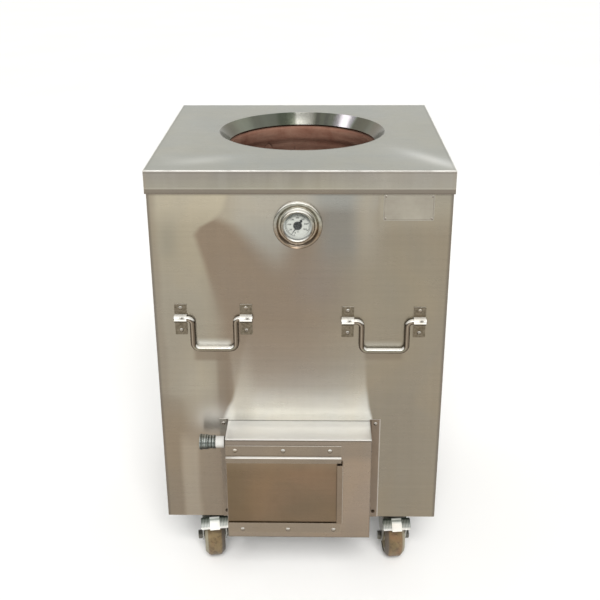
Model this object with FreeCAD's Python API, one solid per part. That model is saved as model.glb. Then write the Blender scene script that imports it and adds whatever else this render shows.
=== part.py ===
import FreeCAD, Part
import math
import os

os.makedirs("parts", exist_ok=True)
V = FreeCAD.Vector

# ---------------------------------------------------------------------------
# Square stainless gas tandoor on four swivel casters.
# Millimetres, +Z up, +X to the right seen from the front, -Y is the front.
# Everything is laid out about the centre of the deck; Y_SHIFT then moves the
# whole object so that its origin is the bottom centre of its overall box.
# ---------------------------------------------------------------------------

# overall
DECK = 609.6            # 24 in square top cover
HEIGHT = 939.8          # 37 in, floor to deck
SKIRT = 48.0            # height of the cover's skirt
SHEET = 1.2             # casing sheet
COVER_T = 1.5           # top cover sheet
BODY = 604.0            # casing width and depth under the cover
BODY_Z0 = 132.2         # underside of the casing
Y_FRONT = -391.2        # front of the door's finger lip, the foremost point
Y_SHIFT = -(Y_FRONT + DECK / 2) / 2

# mouth and pot
POT_Y = 35.6            # pot axis, behind the deck's centre
MOUTH_R = 184.8         # 14.5 in mouth at the deck
THROAT_R = 165.1        # 13 in throat at the collar's lower edge
COLLAR_Z = 914.4        # lower edge of the collar
SHELF_Z = 258.0         # underside of the pot shelf
POT_Z0 = 262.0
POT_TOP = 911.0

# burner box
BOX_X0, BOX_X1 = -158.0, 151.0
BOX_Y = -381.0          # front face of the box
BOX_Z1 = 380.5
RAIL_X0, RAIL_X1 = -157.0, 87.0

# thermometer
GX, GZ = -3.7, 828.0

# gas inlet
IN_Y, IN_Z = -343.0, 352.0
THREAD_R = 12.1         # minor radius of the 3/4 in female thread
THREAD_L = 18.0

# handles: (pivot height, leg x, leg x, saddle centre x, saddle centre x, leg length)
HANDLES = {
    "left": (625.5, -222.6, -133.2, -246.5, -111.5, 68.4),
    "right": (620.5, 127.5, 221.5, 98.5, 246.5, 66.6),
}
BAR_R = 5.75
SADDLE_GAP = 0.30       # radial room of a bar in its strap
SADDLE_T = 2.0
SADDLE_W = 25.4
BAR_PANEL = 0.55        # bar to front panel
PIVOT_Y = -BODY / 2 - BAR_R - BAR_PANEL

# casters: name -> (x, y, yaw in degrees, has a brake)
CASTERS = {
    "front_left": (-210.0, -222.0, 9.0, True),
    "front_right": (210.0, -222.0, 5.0, True),
    "rear_left": (-210.0, 222.0, -6.0, False),
    "rear_right": (210.0, 222.0, 5.0, False),
}
WHEEL_R = 50.0
WHEEL_W = 46.0
TRAIL = 36.0
AXLE_R = 6.0
RUN = 0.08              # radial running clearance
KING_R = 6.0

F = -BODY / 2           # outer face of the front panel
PARTS = {}


def put(name, shape):
    PARTS[name] = shape


def box(x0, x1, y0, y1, z0, z1):
    return Part.makeBox(x1 - x0, y1 - y0, z1 - z0, V(x0, y0, z0))


def cyl(r, x, y, z, h, d=(0, 0, 1)):
    return Part.makeCylinder(r, h, V(x, y, z), V(*d))


def poly_face(points):
    pts = [V(*p) for p in points]
    pts.append(pts[0])
    return Part.Face(Part.Wire(Part.makePolygon(pts)))


def revolve(rz, x=0.0, y=0.0, z=0.0):
    """Ring about +Z from a closed (r, z) outline."""
    s = poly_face([(r, 0, h) for r, h in rz]).revolve(V(0, 0, 0), V(0, 0, 1), 360)
    s.translate(V(x, y, z))
    return s


def face_of(edges):
    return Part.Face(Part.Wire(Part.__sortEdges__(edges)))


def arc3(a, m, b):
    return Part.Arc(V(*a), V(*m), V(*b)).toShape()


def seg(a, b):
    return Part.LineSegment(V(*a), V(*b)).toShape()


def spline(points):
    c = Part.BSplineCurve()
    c.interpolate([V(*p) for p in points])
    return c.toShape()


def fillet_where(shape, r, test):
    edges = [e for e in shape.Edges if test(e)]
    return shape.makeFillet(r, edges)


def along(e, axis):
    if len(e.Vertexes) != 2:
        return False
    a, b = e.Vertexes[0].Point, e.Vertexes[1].Point
    d = b - a
    c = (abs(d.x), abs(d.y), abs(d.z))
    return c[axis] > 0.99 * d.Length and d.Length > 0.5


def mid(e):
    return e.valueAt((e.FirstParameter + e.LastParameter) / 2)


def hexagon(af, x, y, z, h):
    r = af / math.sqrt(3)
    pts = [(r * math.cos(math.radians(60 * i)), r * math.sin(math.radians(60 * i)), 0) for i in range(6)]
    s = poly_face(pts).extrude(V(0, 0, h))
    s.translate(V(x, y, z))
    return s


def nut_solid(af, h, bore=None):
    """Hexagon along +Z from z=0, its corners chamfered at both ends."""
    s = hexagon(af, 0, 0, 0, h)
    rc = af / math.sqrt(3)
    ri = af / 2 * 0.98
    c = 0.35 * (rc - ri) + 0.4
    barrel = Part.makeCone(ri, rc + 0.01, c * 1.4, V(0, 0, 0))
    barrel = barrel.fuse(Part.makeCylinder(rc + 0.01, h - 2.8 * c, V(0, 0, 1.4 * c)))
    barrel = barrel.fuse(Part.makeCone(rc + 0.01, ri, c * 1.4, V(0, 0, h - 1.4 * c)))
    s = s.common(barrel)
    if bore:
        s = s.cut(Part.makeCylinder(bore, h + 2, V(0, 0, -1)))
    return s.removeSplitter()


def tube(points, bends, r, inner=None):
    """Round bar or tube along straight runs joined by tangent arcs."""
    pts = [V(*p) for p in points]
    edges = []
    start = pts[0]
    for i in range(1, len(pts) - 1):
        a, p, b = pts[i - 1], pts[i], pts[i + 1]
        u = (a - p).normalize()
        w = (b - p).normalize()
        ang = u.getAngle(w)
        rb = bends[i - 1]
        t = rb / math.tan(ang / 2)
        p1 = p + u * t
        p2 = p + w * t
        bis = (u + w).normalize()
        c = p + bis * (rb / math.sin(ang / 2))
        m = c - bis * rb
        if (p1 - start).Length > 1e-6:
            edges.append(Part.LineSegment(start, p1).toShape())
        edges.append(Part.Arc(p1, m, p2).toShape())
        start = p2
    edges.append(Part.LineSegment(start, pts[-1]).toShape())
    path = Part.Wire(edges)
    d = (pts[1] - pts[0]).normalize()

    def sweep(rad):
        prof = Part.Wire(Part.makeCircle(rad, pts[0], d))
        ps = Part.BRepOffsetAPI.MakePipeShell(path)
        ps.add(prof)
        ps.build()
        ps.makeSolid()
        return ps.shape()

    s = sweep(r)
    if inner:
        s = s.cut(sweep(inner))
    length = path.Length
    print("tube r=%.2f length=%.1f vol ratio %.4f" % (r, length, s.Volume / (math.pi * (r * r - (inner or 0) ** 2) * length)))
    return s


def to_front(s, x, z):
    """Turn a shape built about +Z so that +Z points out of the front, at the front panel's face."""
    s.rotate(V(0, 0, 0), V(1, 0, 0), 90)
    s.translate(V(x, F, z))
    return s


# ---------------------------------------------------------------------------
# top cover: one folded sheet with welded corners, and a conical mouth collar
# ---------------------------------------------------------------------------
h = DECK / 2
cover = box(-h, h, -h, h, HEIGHT - SKIRT, HEIGHT)
cover = fillet_where(cover, 2.5, lambda e: along(e, 2))
cover = fillet_where(cover, 2.2, lambda e: mid(e).z > HEIGHT - 0.01)
i = h - COVER_T
inner = box(-i, i, -i, i, HEIGHT - SKIRT - 1, HEIGHT - COVER_T)
inner = fillet_where(inner, 1.2, lambda e: along(e, 2))
inner = fillet_where(inner, 1.0, lambda e: mid(e).z > HEIGHT - COVER_T - 0.01)
cover = cover.cut(inner)
cone_k = (MOUTH_R - THROAT_R) / (HEIGHT - COLLAR_Z)
cover = cover.cut(cyl(MOUTH_R + 2.1, 0, POT_Y, HEIGHT - 10, 20))
put("top_cover", cover)

put("mouth_collar", revolve([
    (MOUTH_R, HEIGHT), (THROAT_R + 0.5, COLLAR_Z + 0.5 / cone_k), (THROAT_R, COLLAR_Z),
    (THROAT_R + 0.6, COLLAR_Z - 0.9), (THROAT_R + 1.4, COLLAR_Z - 0.7), (MOUTH_R + 1.9, HEIGHT)], 0, POT_Y))

# ---------------------------------------------------------------------------
# clay pot: rounded lip, short neck, shoulder, belly, floor with a burner hole
# ---------------------------------------------------------------------------
in_pts = [(168, 0, 904), (170.5, 0, 884), (186, 0, 855), (203, 0, 812), (214, 0, 745), (218, 0, 660),
          (216, 0, 560), (207, 0, 450), (194, 0, 360), (182, 0, 300)]
out_pts = [(209, 0, 268), (222, 0, 360), (235, 0, 450), (244, 0, 560), (246, 0, 660), (242, 0, 745),
           (231, 0, 812), (214, 0, 855), (199, 0, 884), (196, 0, 904)]
pot_face = face_of([
    spline(in_pts),
    arc3((182, 0, 300), (179.6, 0, 294.4), (174, 0, 292)),
    seg((174, 0, 292), (73, 0, 292)),
    arc3((73, 0, 292), (70.9, 0, 291.1), (70, 0, 289)),
    seg((70, 0, 289), (70, 0, POT_Z0)),
    seg((70, 0, POT_Z0), (203, 0, POT_Z0)),
    seg((203, 0, POT_Z0), (209, 0, 268)),
    spline(out_pts),
    arc3((196, 0, 904), (193.95, 0, 908.95), (189, 0, POT_TOP)),
    seg((189, 0, POT_TOP), (175, 0, POT_TOP)),
    arc3((175, 0, POT_TOP), (170.05, 0, 908.95), (168, 0, 904)),
])
pot = pot_face.revolve(V(0, 0, 0), V(0, 0, 1), 360)
pot.translate(V(0, POT_Y, 0))
stem_hole = Part.makeCylinder(5.5, 200)
stem_hole.rotate(V(0, 0, 0), V(1, 0, 0), -90)
stem_hole.translate(V(GX, -330, GZ))
pot = pot.cut(stem_hole)
put("clay_pot", pot)

# insulation: eight batts packed between the pot and the casing
off_pts = [(209.5, 0, 262.5), (209.5, 0, 268), (222.6, 0, 360), (235.6, 0, 450), (244.6, 0, 560), (246.6, 0, 660),
           (242.6, 0, 745), (231.6, 0, 812), (214.7, 0, 855), (199.7, 0, 884), (197.0, 0, 906)]
core_face = face_of([
    seg((0, 0, 262.5), (209.5, 0, 262.5)), seg((209.5, 0, 262.5), (209.7, 0, 268)),
    spline([(209.7, 0, 268)] + [(p[0] + 0.1, 0, p[2]) for p in off_pts[2:]]),
    seg((197.1, 0, 906), (0, 0, 906)), seg((0, 0, 906), (0, 0, 262.5))])
core = core_face.revolve(V(0, 0, 0), V(0, 0, 1), 360)
core.translate(V(0, POT_Y, 0))
block = box(-289.5, 289.5, -290, 289.5, 262.8, 905)
block = block.cut(core)
block = block.cut([Part.makeCylinder(6, 330, V(GX, -330, GZ), V(0, 1, 0)), Part.makeCylinder(9.5, 56, V(GX, -330, GZ), V(0, 1, 0)),
                   Part.makeCylinder(37, 50, V(GX, -330, GZ), V(0, 1, 0))])
batts = []
for k in range(8):
    a0, a1 = math.radians(45 * k), math.radians(45 * (k + 1))
    R = 900
    g = 0.0015
    w = poly_face([(0, POT_Y, 200), (R * math.cos(a0 + g), POT_Y + R * math.sin(a0 + g), 200),
                   (R * math.cos(a1 - g), POT_Y + R * math.sin(a1 - g), 200)]).extrude(V(0, 0, 800))
    b = block.common(w)
    batts += b.Solids
put("insulation", Part.makeCompound(batts))

# flame spreader: shallow steel dome on three legs over the burner hole
spreader = revolve([(0, 340), (40, 338), (88, 328), (88, 323), (84, 323), (40, 333.5), (0, 335.5)], 0, POT_Y)
for a in (90, 210, 330):
    x, y = 80 * math.cos(math.radians(a)), POT_Y + 80 * math.sin(math.radians(a))
    spreader = spreader.fuse(cyl(5, x, y, 292, 33.5))
put("flame_spreader", spreader.removeSplitter())

# ---------------------------------------------------------------------------
# casing: folded front and rear sheets, flat sides behind their returns
# ---------------------------------------------------------------------------
b2 = BODY / 2
TOP = HEIGHT - COVER_T - 0.3


def folded(front):
    s = -1 if front else 1
    p = box(-b2, b2, min(s * b2, s * (b2 - 22)), max(s * b2, s * (b2 - 22)), BODY_Z0, TOP)
    p = fillet_where(p, 3.0, lambda e: along(e, 2) and abs(mid(e).y) > b2 - 1)
    c = box(-b2 + SHEET, b2 - SHEET, min(s * (b2 - SHEET), s * (b2 - 40)), max(s * (b2 - SHEET), s * (b2 - 40)),
            BODY_Z0 - 1, TOP + 1)
    c = fillet_where(c, 1.8, lambda e: along(e, 2) and abs(mid(e).y) > b2 - 2)
    return p.cut(c)


screws = []
holes = []
# burner box flange screws and saddle screws, all the same pan-head screw
for x in (BOX_X0 - 9.5, BOX_X1 + 11.5):
    for z in (147.0, 374.6):
        screws.append((x, z, F - SHEET))
for hz, l0, l1, s0, s1, ll in HANDLES.values():
    for x in (s0, s1):
        for z in (hz + 22.5, hz - 27.5):
            screws.append((x, z, F - SADDLE_T))
HOLE = 2.15
hole_cut = [Part.makeCylinder(HOLE, 22, V(x, F - 6, z), V(0, 1, 0)) for x, z, y in screws]

front = folded(True)
front = front.cut(Part.makeCylinder(29.6, 10, V(GX, F - 4, GZ), V(0, 1, 0)))
opening = box(-120, 110, F - 5, F + 5, 160, 330)
opening = fillet_where(opening, 8, lambda e: along(e, 1))
front = front.cut(opening)
front = front.cut(hole_cut)
put("front_panel", front)
put("rear_panel", folded(False))
put("left_panel", box(-b2 + SHEET + 0.1, -b2 + 2 * SHEET + 0.1, -b2 + 4, b2 - 4, BODY_Z0, TOP))
put("right_panel", box(b2 - 2 * SHEET - 0.1, b2 - SHEET - 0.1, -b2 + 4, b2 - 4, BODY_Z0, TOP))

# caster bolt positions
bolt_xy = []
for cx, cy, yaw, brake in CASTERS.values():
    for dx in (-37.5, 37.5):
        for dy in (-22.5, 22.5):
            bolt_xy.append((cx + dx, cy + dy))

pan = box(-299.3, 299.3, -300.6, 300.6, BODY_Z0, BODY_Z0 + 1.5)
pan = pan.cut(cyl(75, 0, POT_Y, BODY_Z0 - 5, 20))
pan = pan.cut([cyl(4.4, x, y, BODY_Z0 - 5, 20) for x, y in bolt_xy])
put("base_pan", pan)

# welded frame of separate members: angle base ring with caster gussets, corner posts, shelf ring, top ring
FZ = BODY_Z0 + 1.5


def angle_ring(o, wide, deep, t, z_flat, z_leg0, z_leg1):
    """Four angle bars butted into a square: a flat leg at z_flat and an upright leg from z_leg0 to z_leg1."""
    bars = []
    for s in (-1, 1):
        # front and rear bars run the full width, the side bars fit between them
        y0, y1 = sorted((s * o, s * (o - wide)))
        v0, v1 = sorted((s * o, s * (o - t)))
        bars.append(box(-o, o, y0, y1, z_flat, z_flat + deep).fuse(box(-o, o, v0, v1, z_leg0, z_leg1)).removeSplitter())
        bars.append(box(y0, y1, -o + wide, o - wide, z_flat, z_flat + deep)
                    .fuse(box(v0, v1, -o + wide, o - wide, z_leg0, z_leg1)).removeSplitter())
    return bars


members = angle_ring(294, 40, 4, 4, FZ, FZ, FZ + 40)
members += angle_ring(294, 30, 3, 3, SHELF_Z - 3, SHELF_Z - 30, SHELF_Z)
members += angle_ring(294, 25, 3, 3, 933, 911, 936)
for sx in (-1, 1):
    for sy in (-1, 1):
        members.append(poly_face([(sx * 254, sy * 254, FZ), (sx * 155, sy * 254, FZ), (sx * 155, sy * 185, FZ),
                                  (sx * 200, sy * 155, FZ), (sx * 254, sy * 155, FZ)]).extrude(V(0, 0, 5)))
        post = box(min(sx * 297, sx * 267), max(sx * 297, sx * 267), min(sy * 297, sy * 267), max(sy * 297, sy * 267),
                   FZ, 936)
        members.append(post.cut(box(min(sx * 294, sx * 260), max(sx * 294, sx * 260), min(sy * 294, sy * 260),
                                    max(sy * 294, sy * 260), FZ - 1, 937)))
frame_cut = [cyl(4.4, x, y, FZ - 5, 20) for x, y in bolt_xy] + hole_cut
put("frame", Part.makeCompound([m.cut(frame_cut) for m in members]))

shelf = box(-290, 290, -290, 290, SHELF_Z, POT_Z0)
shelf = shelf.cut(cyl(80, 0, POT_Y, SHELF_Z - 5, 20))
put("pot_shelf", shelf)

# ---------------------------------------------------------------------------
# burner box on the front panel
# ---------------------------------------------------------------------------
bb = box(BOX_X0, BOX_X1, BOX_Y, F, BODY_Z0, BOX_Z1)
bb = fillet_where(bb, 2.4, lambda e: mid(e).y < BOX_Y + 0.01 or (along(e, 1) and mid(e).z > BOX_Z1 - 0.01))
cav = box(BOX_X0 + SHEET, BOX_X1 - SHEET, BOX_Y + SHEET, F + 5, BODY_Z0 + SHEET, BOX_Z1 - SHEET)
cav = fillet_where(cav, 1.2, lambda e: mid(e).y < BOX_Y + SHEET + 0.01 or (along(e, 1) and mid(e).z > BOX_Z1 - SHEET - 0.01))
bb = bb.cut(cav)
bb = bb.fuse([box(BOX_X0 - 18, BOX_X0 + SHEET, F - SHEET, F, BODY_Z0, BOX_Z1 + 5),
              box(BOX_X1 - SHEET, BOX_X1 + 22, F - SHEET, F, BODY_Z0, BOX_Z1 + 5)])
doorway = box(-136, 66, BOX_Y - 3, BOX_Y + 4, 186, 316)
doorway = fillet_where(doorway, 6, lambda e: along(e, 1))
bb = bb.cut(doorway)
bb = bb.cut(Part.makeCylinder(10.7, 12, V(BOX_X0 - 5, IN_Y, IN_Z), V(1, 0, 0)))
bb = bb.cut(hole_cut)
rivet_pts = [(-137.0, 354.4), (-35.5, 354.4), (63.0, 354.4), (-126.0, 154.6), (-27.0, 154.6), (72.0, 154.6)]
riv_holes = [Part.makeCylinder(2.05, 12, V(x, BOX_Y - 6, z), V(0, 1, 0)) for x, z in rivet_pts]
bb = bb.cut(riv_holes)
put("burner_box", bb.removeSplitter())

# Z rails that guide the door
RY1 = BOX_Y
RY0 = BOX_Y - 5.4


def z_rail(z_leaf0, z_leaf1, z_step, up, lip):
    """Leaf on the box from the step to its outer edge, lip over the door's edge."""
    s = 1 if up else -1
    outer = [(RY1, z_step), (RY0, z_step), (RY0, z_step - s * lip), (RY0 + 1.2, z_step - s * lip),
             (RY0 + 1.2, z_step - s * 1.2), (RY1 - 0.0, z_step - s * 1.2)]
    lipf = poly_face([(RAIL_X0, y, z) for y, z in outer]).extrude(V(RAIL_X1 - RAIL_X0, 0, 0))
    leaf = box(RAIL_X0, RAIL_X1, RY1 - 1.2, RY1, min(z_leaf0, z_leaf1), max(z_leaf0, z_leaf1))
    r = lipf.fuse(leaf).removeSplitter()
    r = fillet_where(r, 1.9, lambda e: along(e, 0) and abs(mid(e).y - RY0 - 1.2) < 0.01 and abs(mid(e).z - z_step + s * 1.2) < 0.01)
    r = fillet_where(r, 3.1, lambda e: along(e, 0) and abs(mid(e).y - RY0) < 0.01 and abs(mid(e).z - z_step) < 0.01)
    return r


top_rail = z_rail(339.4, 367.1, 340.6, True, 14.2)
low_rail = z_rail(162.3, 146.4, 161.1, False, 13.4)
top_rail = top_rail.cut(riv_holes)
low_rail = low_rail.cut(riv_holes)
put("door_rails", Part.makeCompound([top_rail, low_rail]))

# rivets: dome head outside, shank through rail and box, small tail
rivets = []
dome = [(0, 3.0), (1.7, 2.8), (3.2, 2.15), (4.3, 1.15), (4.9, 0.2), (4.9, 0), (2.0, 0), (2.0, -2.4), (2.7, -2.4), (2.7, -3.4), (0, -3.4)]
for x, z in rivet_pts:
    s = revolve(dome)
    s.rotate(V(0, 0, 0), V(1, 0, 0), 90)
    s.translate(V(x, BOX_Y - 1.2, z))
    rivets.append(s)

# nameplate, bare, with four small rivets
NP = (165.0, 265.0, 837.0, 891.0)
plate = box(NP[0], NP[1], F - 0.8, F, NP[2], NP[3])
plate = fillet_where(plate, 3.0, lambda e: along(e, 1))
plate = fillet_where(plate, 0.35, lambda e: mid(e).y < F - 0.79)
np_rivets = [(NP[0] + 4.5, NP[2] + 4.5), (NP[1] - 4.5, NP[2] + 4.5), (NP[0] + 4.5, NP[3] - 4.5), (NP[1] - 4.5, NP[3] - 4.5)]
plate = plate.cut([Part.makeCylinder(1.15, 10, V(x, F - 5, z), V(0, 1, 0)) for x, z in np_rivets])
put("nameplate", plate)
PARTS["front_panel"] = PARTS["front_panel"].cut([Part.makeCylinder(1.15, 10, V(x, F - 5, z), V(0, 1, 0)) for x, z in np_rivets])
for x, z in np_rivets:
    s = revolve([(0, 0.95), (0.9, 0.8), (1.6, 0.35), (1.8, 0), (1.1, 0), (1.1, -2.6), (0, -2.6)])
    s.rotate(V(0, 0, 0), V(1, 0, 0), 90)
    s.translate(V(x, F - 0.8, z))
    rivets.append(s)
put("rivets", Part.makeCompound(rivets))

# sliding door: sheet with a folded finger lip on its right edge
D0, D1 = -156.0, 91.0
DY0, DY1 = BOX_Y - 2.4, BOX_Y - 1.2
DZ0, DZ1 = 162.7, 338.9
LZ0, LZ1 = 176.6, 324.2
sheet_body = box(D0, D1 - 10.5, DY0 + 0.1, DY1 + 0.2, DZ0, DZ1)
lip_outline = [(D1 - 14, DY0 + 0.1), (D1 - 14, DY1 + 0.2), (D1, DY1 + 0.2), (D1, Y_FRONT), (D1 - 13, Y_FRONT),
               (D1 - 13, Y_FRONT + 1.1), (D1 - 1.1, Y_FRONT + 1.1), (D1 - 1.1, DY0 + 0.1)]
lip = poly_face([(x, y, LZ0) for x, y in lip_outline]).extrude(V(0, 0, LZ1 - LZ0))
lip = fillet_where(lip, 1.6, lambda e: along(e, 2) and abs(mid(e).x - D1) < 0.01)
door = sheet_body.fuse(lip).removeSplitter()
put("sliding_door", door)

# pan-head screws
heads = []
pan_head = [(0, 2.5), (1.6, 2.4), (3.0, 1.9), (3.9, 1.0), (4.1, 0), (2.0, 0), (2.0, -9), (1.0, -10.5), (0, -10.5)]
for x, z, y in screws:
    s = revolve(pan_head)
    s = s.cut([box(-2.2, 2.2, -0.45, 0.45, 1.2, 3), box(-0.45, 0.45, -2.2, 2.2, 1.2, 3)])
    s.rotate(V(0, 0, 0), V(0, 0, 1), (x * 7 + z * 3) % 90)
    s.rotate(V(0, 0, 0), V(1, 0, 0), 90)
    s.translate(V(x, y, z))
    heads.append(s)
put("panel_screws", Part.makeCompound(heads))

# ---------------------------------------------------------------------------
# handles: bent round bar in strap saddles
# ---------------------------------------------------------------------------
saddles = []
for name, (hz, l0, l1, s0, s1, ll) in HANDLES.items():
    ri = BAR_R + SADDLE_GAP
    ro = ri + SADDLE_T
    for sx in (s0, s1):
        x0, x1 = sx - SADDLE_W / 2, sx + SADDLE_W / 2
        strap = box(x0, x1, F - SADDLE_T, F, hz - 37.5, hz + 31.0)
        strap = fillet_where(strap, 2.0, lambda e: along(e, 1))
        hump = box(x0, x1, PIVOT_Y, F, hz - ro, hz + ro).fuse(Part.makeCylinder(ro, SADDLE_W, V(x0, PIVOT_Y, hz), V(1, 0, 0)))
        s = strap.fuse(hump).removeSplitter()
        s = fillet_where(s, 1.6, lambda e: along(e, 0) and abs(mid(e).y - (F - SADDLE_T)) < 0.01
                         and abs(abs(mid(e).z - hz) - ro) < 0.01)
        s = s.cut([box(x0 - 1, x1 + 1, PIVOT_Y, F + 1, hz - ri, hz + ri),
                   Part.makeCylinder(ri, SADDLE_W + 2, V(x0 - 1, PIVOT_Y, hz), V(1, 0, 0))])
        s = s.cut(hole_cut).common(box(x0 - 1, x1 + 1, F - 40, F, hz - 60, hz + 60))
        saddles.append(s)
    e0, e1 = s0 - SADDLE_W / 2 - 1.5, s1 + SADDLE_W / 2 + 1.5
    ra = min(12.5, l0 - (s0 + SADDLE_W / 2) - 0.6)
    rb = min(12.5, (s1 - SADDLE_W / 2) - l1 - 0.6)
    bail = tube([(e0, PIVOT_Y, hz), (l0, PIVOT_Y, hz), (l0, PIVOT_Y, hz - ll), (l1, PIVOT_Y, hz - ll),
                 (l1, PIVOT_Y, hz), (e1, PIVOT_Y, hz)], [ra, 13.0, 13.0, rb], BAR_R)
    bail = fillet_where(bail, 1.0, lambda e: len(e.Vertexes) == 1 and (abs(mid(e).x - e0) < 0.01 or abs(mid(e).x - e1) < 0.01))
    put("handle_" + name, bail)
put("handle_saddles", Part.makeCompound(saddles))

# ---------------------------------------------------------------------------
# thermometer: dished flange, case, dial, pointer, glass, stem, ring nut
# ---------------------------------------------------------------------------
fl = face_of([
    seg((29.7, 0, 0), (49, 0, 0)),
    seg((49, 0, 0), (49, 0, 3.4)),
    arc3((49, 0, 3.4), (47.9, 0, 6.6), (44.8, 0, 7.6)),
    spline([(44.8, 0, 7.6), (42.2, 0, 7.0), (39.4, 0, 5.1), (36.9, 0, 4.3), (35.0, 0, 4.9), (33.7, 0, 7.2), (33.2, 0, 11.2)]),
    arc3((33.2, 0, 11.2), (32.3, 0, 14.1), (30.4, 0, 15.0)),
    seg((30.4, 0, 15.0), (28.5, 0, 13.9)),
    seg((28.5, 0, 13.9), (28.5, 0, 10.9)),
    seg((28.5, 0, 10.9), (29.4, 0, 10.9)),
    seg((29.4, 0, 10.9), (29.4, 0, 2.0)),
    seg((29.4, 0, 2.0), (29.7, 0, 0)),
])
flange = fl.revolve(V(0, 0, 0), V(0, 0, 1), 360)
put("gauge_flange", to_front(flange, GX, GZ))
case = revolve([(4.15, -18), (26, -18), (29.2, -15.5), (29.2, 8.7), (28.3, 8.7), (28.3, 3.9), (26, 3.9), (26, -14),
                (24.5, -17), (4.15, -17)])
put("gauge_case", to_front(case, GX, GZ))
dial = revolve([(1.08, 3.9), (28.2, 3.9), (28.2, 4.6), (1.08, 4.6)])
put("gauge_dial", to_front(dial, GX, GZ))
lens = revolve([(0, 8.8), (29.2, 8.8), (29.2, 10.8), (0, 10.8)])
put("gauge_lens", to_front(lens, GX, GZ))
ndl_ang = math.radians(235.7)       # counter-clockwise from +X seen from the front
hub = revolve([(0, 7.4), (3.2, 7.4), (3.4, 7.0), (8.3, 6.6), (8.7, 6.2), (8.7, 5.5), (1.0, 5.5), (1.0, 2.5), (0, 2.5)])
hub = hub.cut(box(-2.3, 2.3, -0.35, 0.35, 6.9, 8))
needle = poly_face([(8.0, 0.9, 5.7), (22.6, 0.28, 5.7), (22.6, -0.28, 5.7), (8.0, -0.9, 5.7)]).extrude(V(0, 0, 0.6))
tail = poly_face([(-7.5, 1.5, 5.7), (-10.5, 1.5, 5.7), (-10.5, -1.5, 5.7), (-7.5, -1.5, 5.7)]).extrude(V(0, 0, 0.6))
tail = tail.fuse(Part.makeCylinder(2.7, 0.6, V(-11.6, 0, 5.7)))
pointer = hub.fuse([needle, tail]).removeSplitter()
pointer.rotate(V(0, 0, 0), V(0, 0, 1), math.degrees(ndl_ang))
put("gauge_pointer", to_front(pointer, GX, GZ))
stem = revolve([(0, -16.2), (8, -16.2), (8, -17), (4.1, -17), (4.1, -18), (6.5, -18), (6.5, -25), (4.0, -25), (4.0, -133),
                (2.5, -135), (0, -135)])
put("gauge_stem", to_front(stem, GX, GZ))
rn = revolve([(29.3, -SHEET), (34.5, -SHEET), (34.5, -6.2), (29.3, -6.2)])
for k in range(6):
    a = math.radians(60 * k + 10)
    rn = rn.cut(cyl(2.2, 34.8 * math.cos(a), 34.8 * math.sin(a), -10, 12))
put("gauge_ring_nut", to_front(rn, GX, GZ))

# ---------------------------------------------------------------------------
# gas inlet on the left of the burner box: nipple, union nut, female coupling
# ---------------------------------------------------------------------------


def along_x(s):
    """Shape built about +Z, turned so that +Z is -X, on the inlet's axis."""
    s.rotate(V(0, 0, 0), V(0, 1, 0), -90)
    s.translate(V(0, IN_Y, IN_Z))
    return s


# local z = -x
nip = revolve([(8, 148), (10.5, 148), (10.5, 158.1), (12.3, 158.1), (12.7, 158.6), (12.7, 180.4), (12.2, 181), (11.0, 181),
               (11.0, 197), (8, 197)])
put("gas_nipple", along_x(nip))
un = revolve([(11.1, 181.1), (13.6, 181.1), (14.4, 182), (14.4, 187.4), (13.7, 188.2), (13.2, 188.4), (13.2, 189.4),
              (13.7, 189.6), (14.4, 190.4), (14.4, 196.2), (13.8, 197), (11.1, 197)])
put("gas_union_nut", along_x(un))
co = revolve([(15.2, 197.1), (15.8, 197.8), (15.8, 208.3), (15.3, 209), (16.2, 209.4), (16.8, 210), (16.8, 214.2),
              (16.2, 215.1), (THREAD_R, 215.1), (THREAD_R, 197.1)])
put("gas_inlet_coupling", along_x(co))

VX = -75.0              # safety valve, centre line
CZ = 204.0              # gas cock and burner, axis height
pipe = tube([(-148, IN_Y, IN_Z), (VX, IN_Y, IN_Z), (VX, IN_Y, 300)], [24.0], 8.5, 6.0)
put("gas_pipe", pipe)

valve = box(VX - 20, VX + 20, -361, -325, 202, 290)
valve = fillet_where(valve, 4, lambda e: along(e, 2))
valve = fillet_where(valve, 1.5, lambda e: mid(e).z > 289.9 or mid(e).z < 202.1)
valve = valve.fuse([cyl(13, VX, IN_Y, 289, 11), Part.makeCylinder(11, 4, V(VX, -364.5, 268), V(0, 1, 0)),
                    Part.makeCylinder(10, 6, V(VX + 18, IN_Y, CZ), V(1, 0, 0))])
valve = valve.cut([cyl(6.0, VX, IN_Y, 270, 40), Part.makeCylinder(6 + RUN, 16, V(VX, -365, 268), V(0, 1, 0))])
put("safety_valve", valve.removeSplitter())

btn = revolve([(0, 0), (5.2, 0), (6, 0.8), (6, 17), (0, 17)])
btn.rotate(V(0, 0, 0), V(1, 0, 0), -90)
btn.translate(V(VX, -374.5, 268))
put("reset_button", btn)

cock = Part.makeCylinder(13, 26, V(0, -360, CZ), V(0, 1, 0))
cock = fillet_where(cock, 1.2, lambda e: len(e.Vertexes) == 1 and e.Length > 50)
cock = cock.fuse([Part.makeCylinder(7.5, 40, V(-51, IN_Y, CZ), V(1, 0, 0)),
                  Part.makeCylinder(6.5, 8, V(0, -334.5, CZ), V(0, 1, 0)),
                  Part.makeCone(6.5, 3.0, 6, V(0, -326.5, CZ), V(0, 1, 0))])
cock = cock.cut([Part.makeCylinder(4 + RUN, 13, V(0, -361, CZ), V(0, 1, 0)),
                 Part.makeCylinder(1.0, 30, V(0, -345, CZ), V(0, 1, 0)),
                 Part.makeCylinder(4.0, 60, V(-52, IN_Y, CZ), V(1, 0, 0)).common(box(-60, 5, -380, -330, 190, 240))])
put("gas_cock", cock.removeSplitter())

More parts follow.
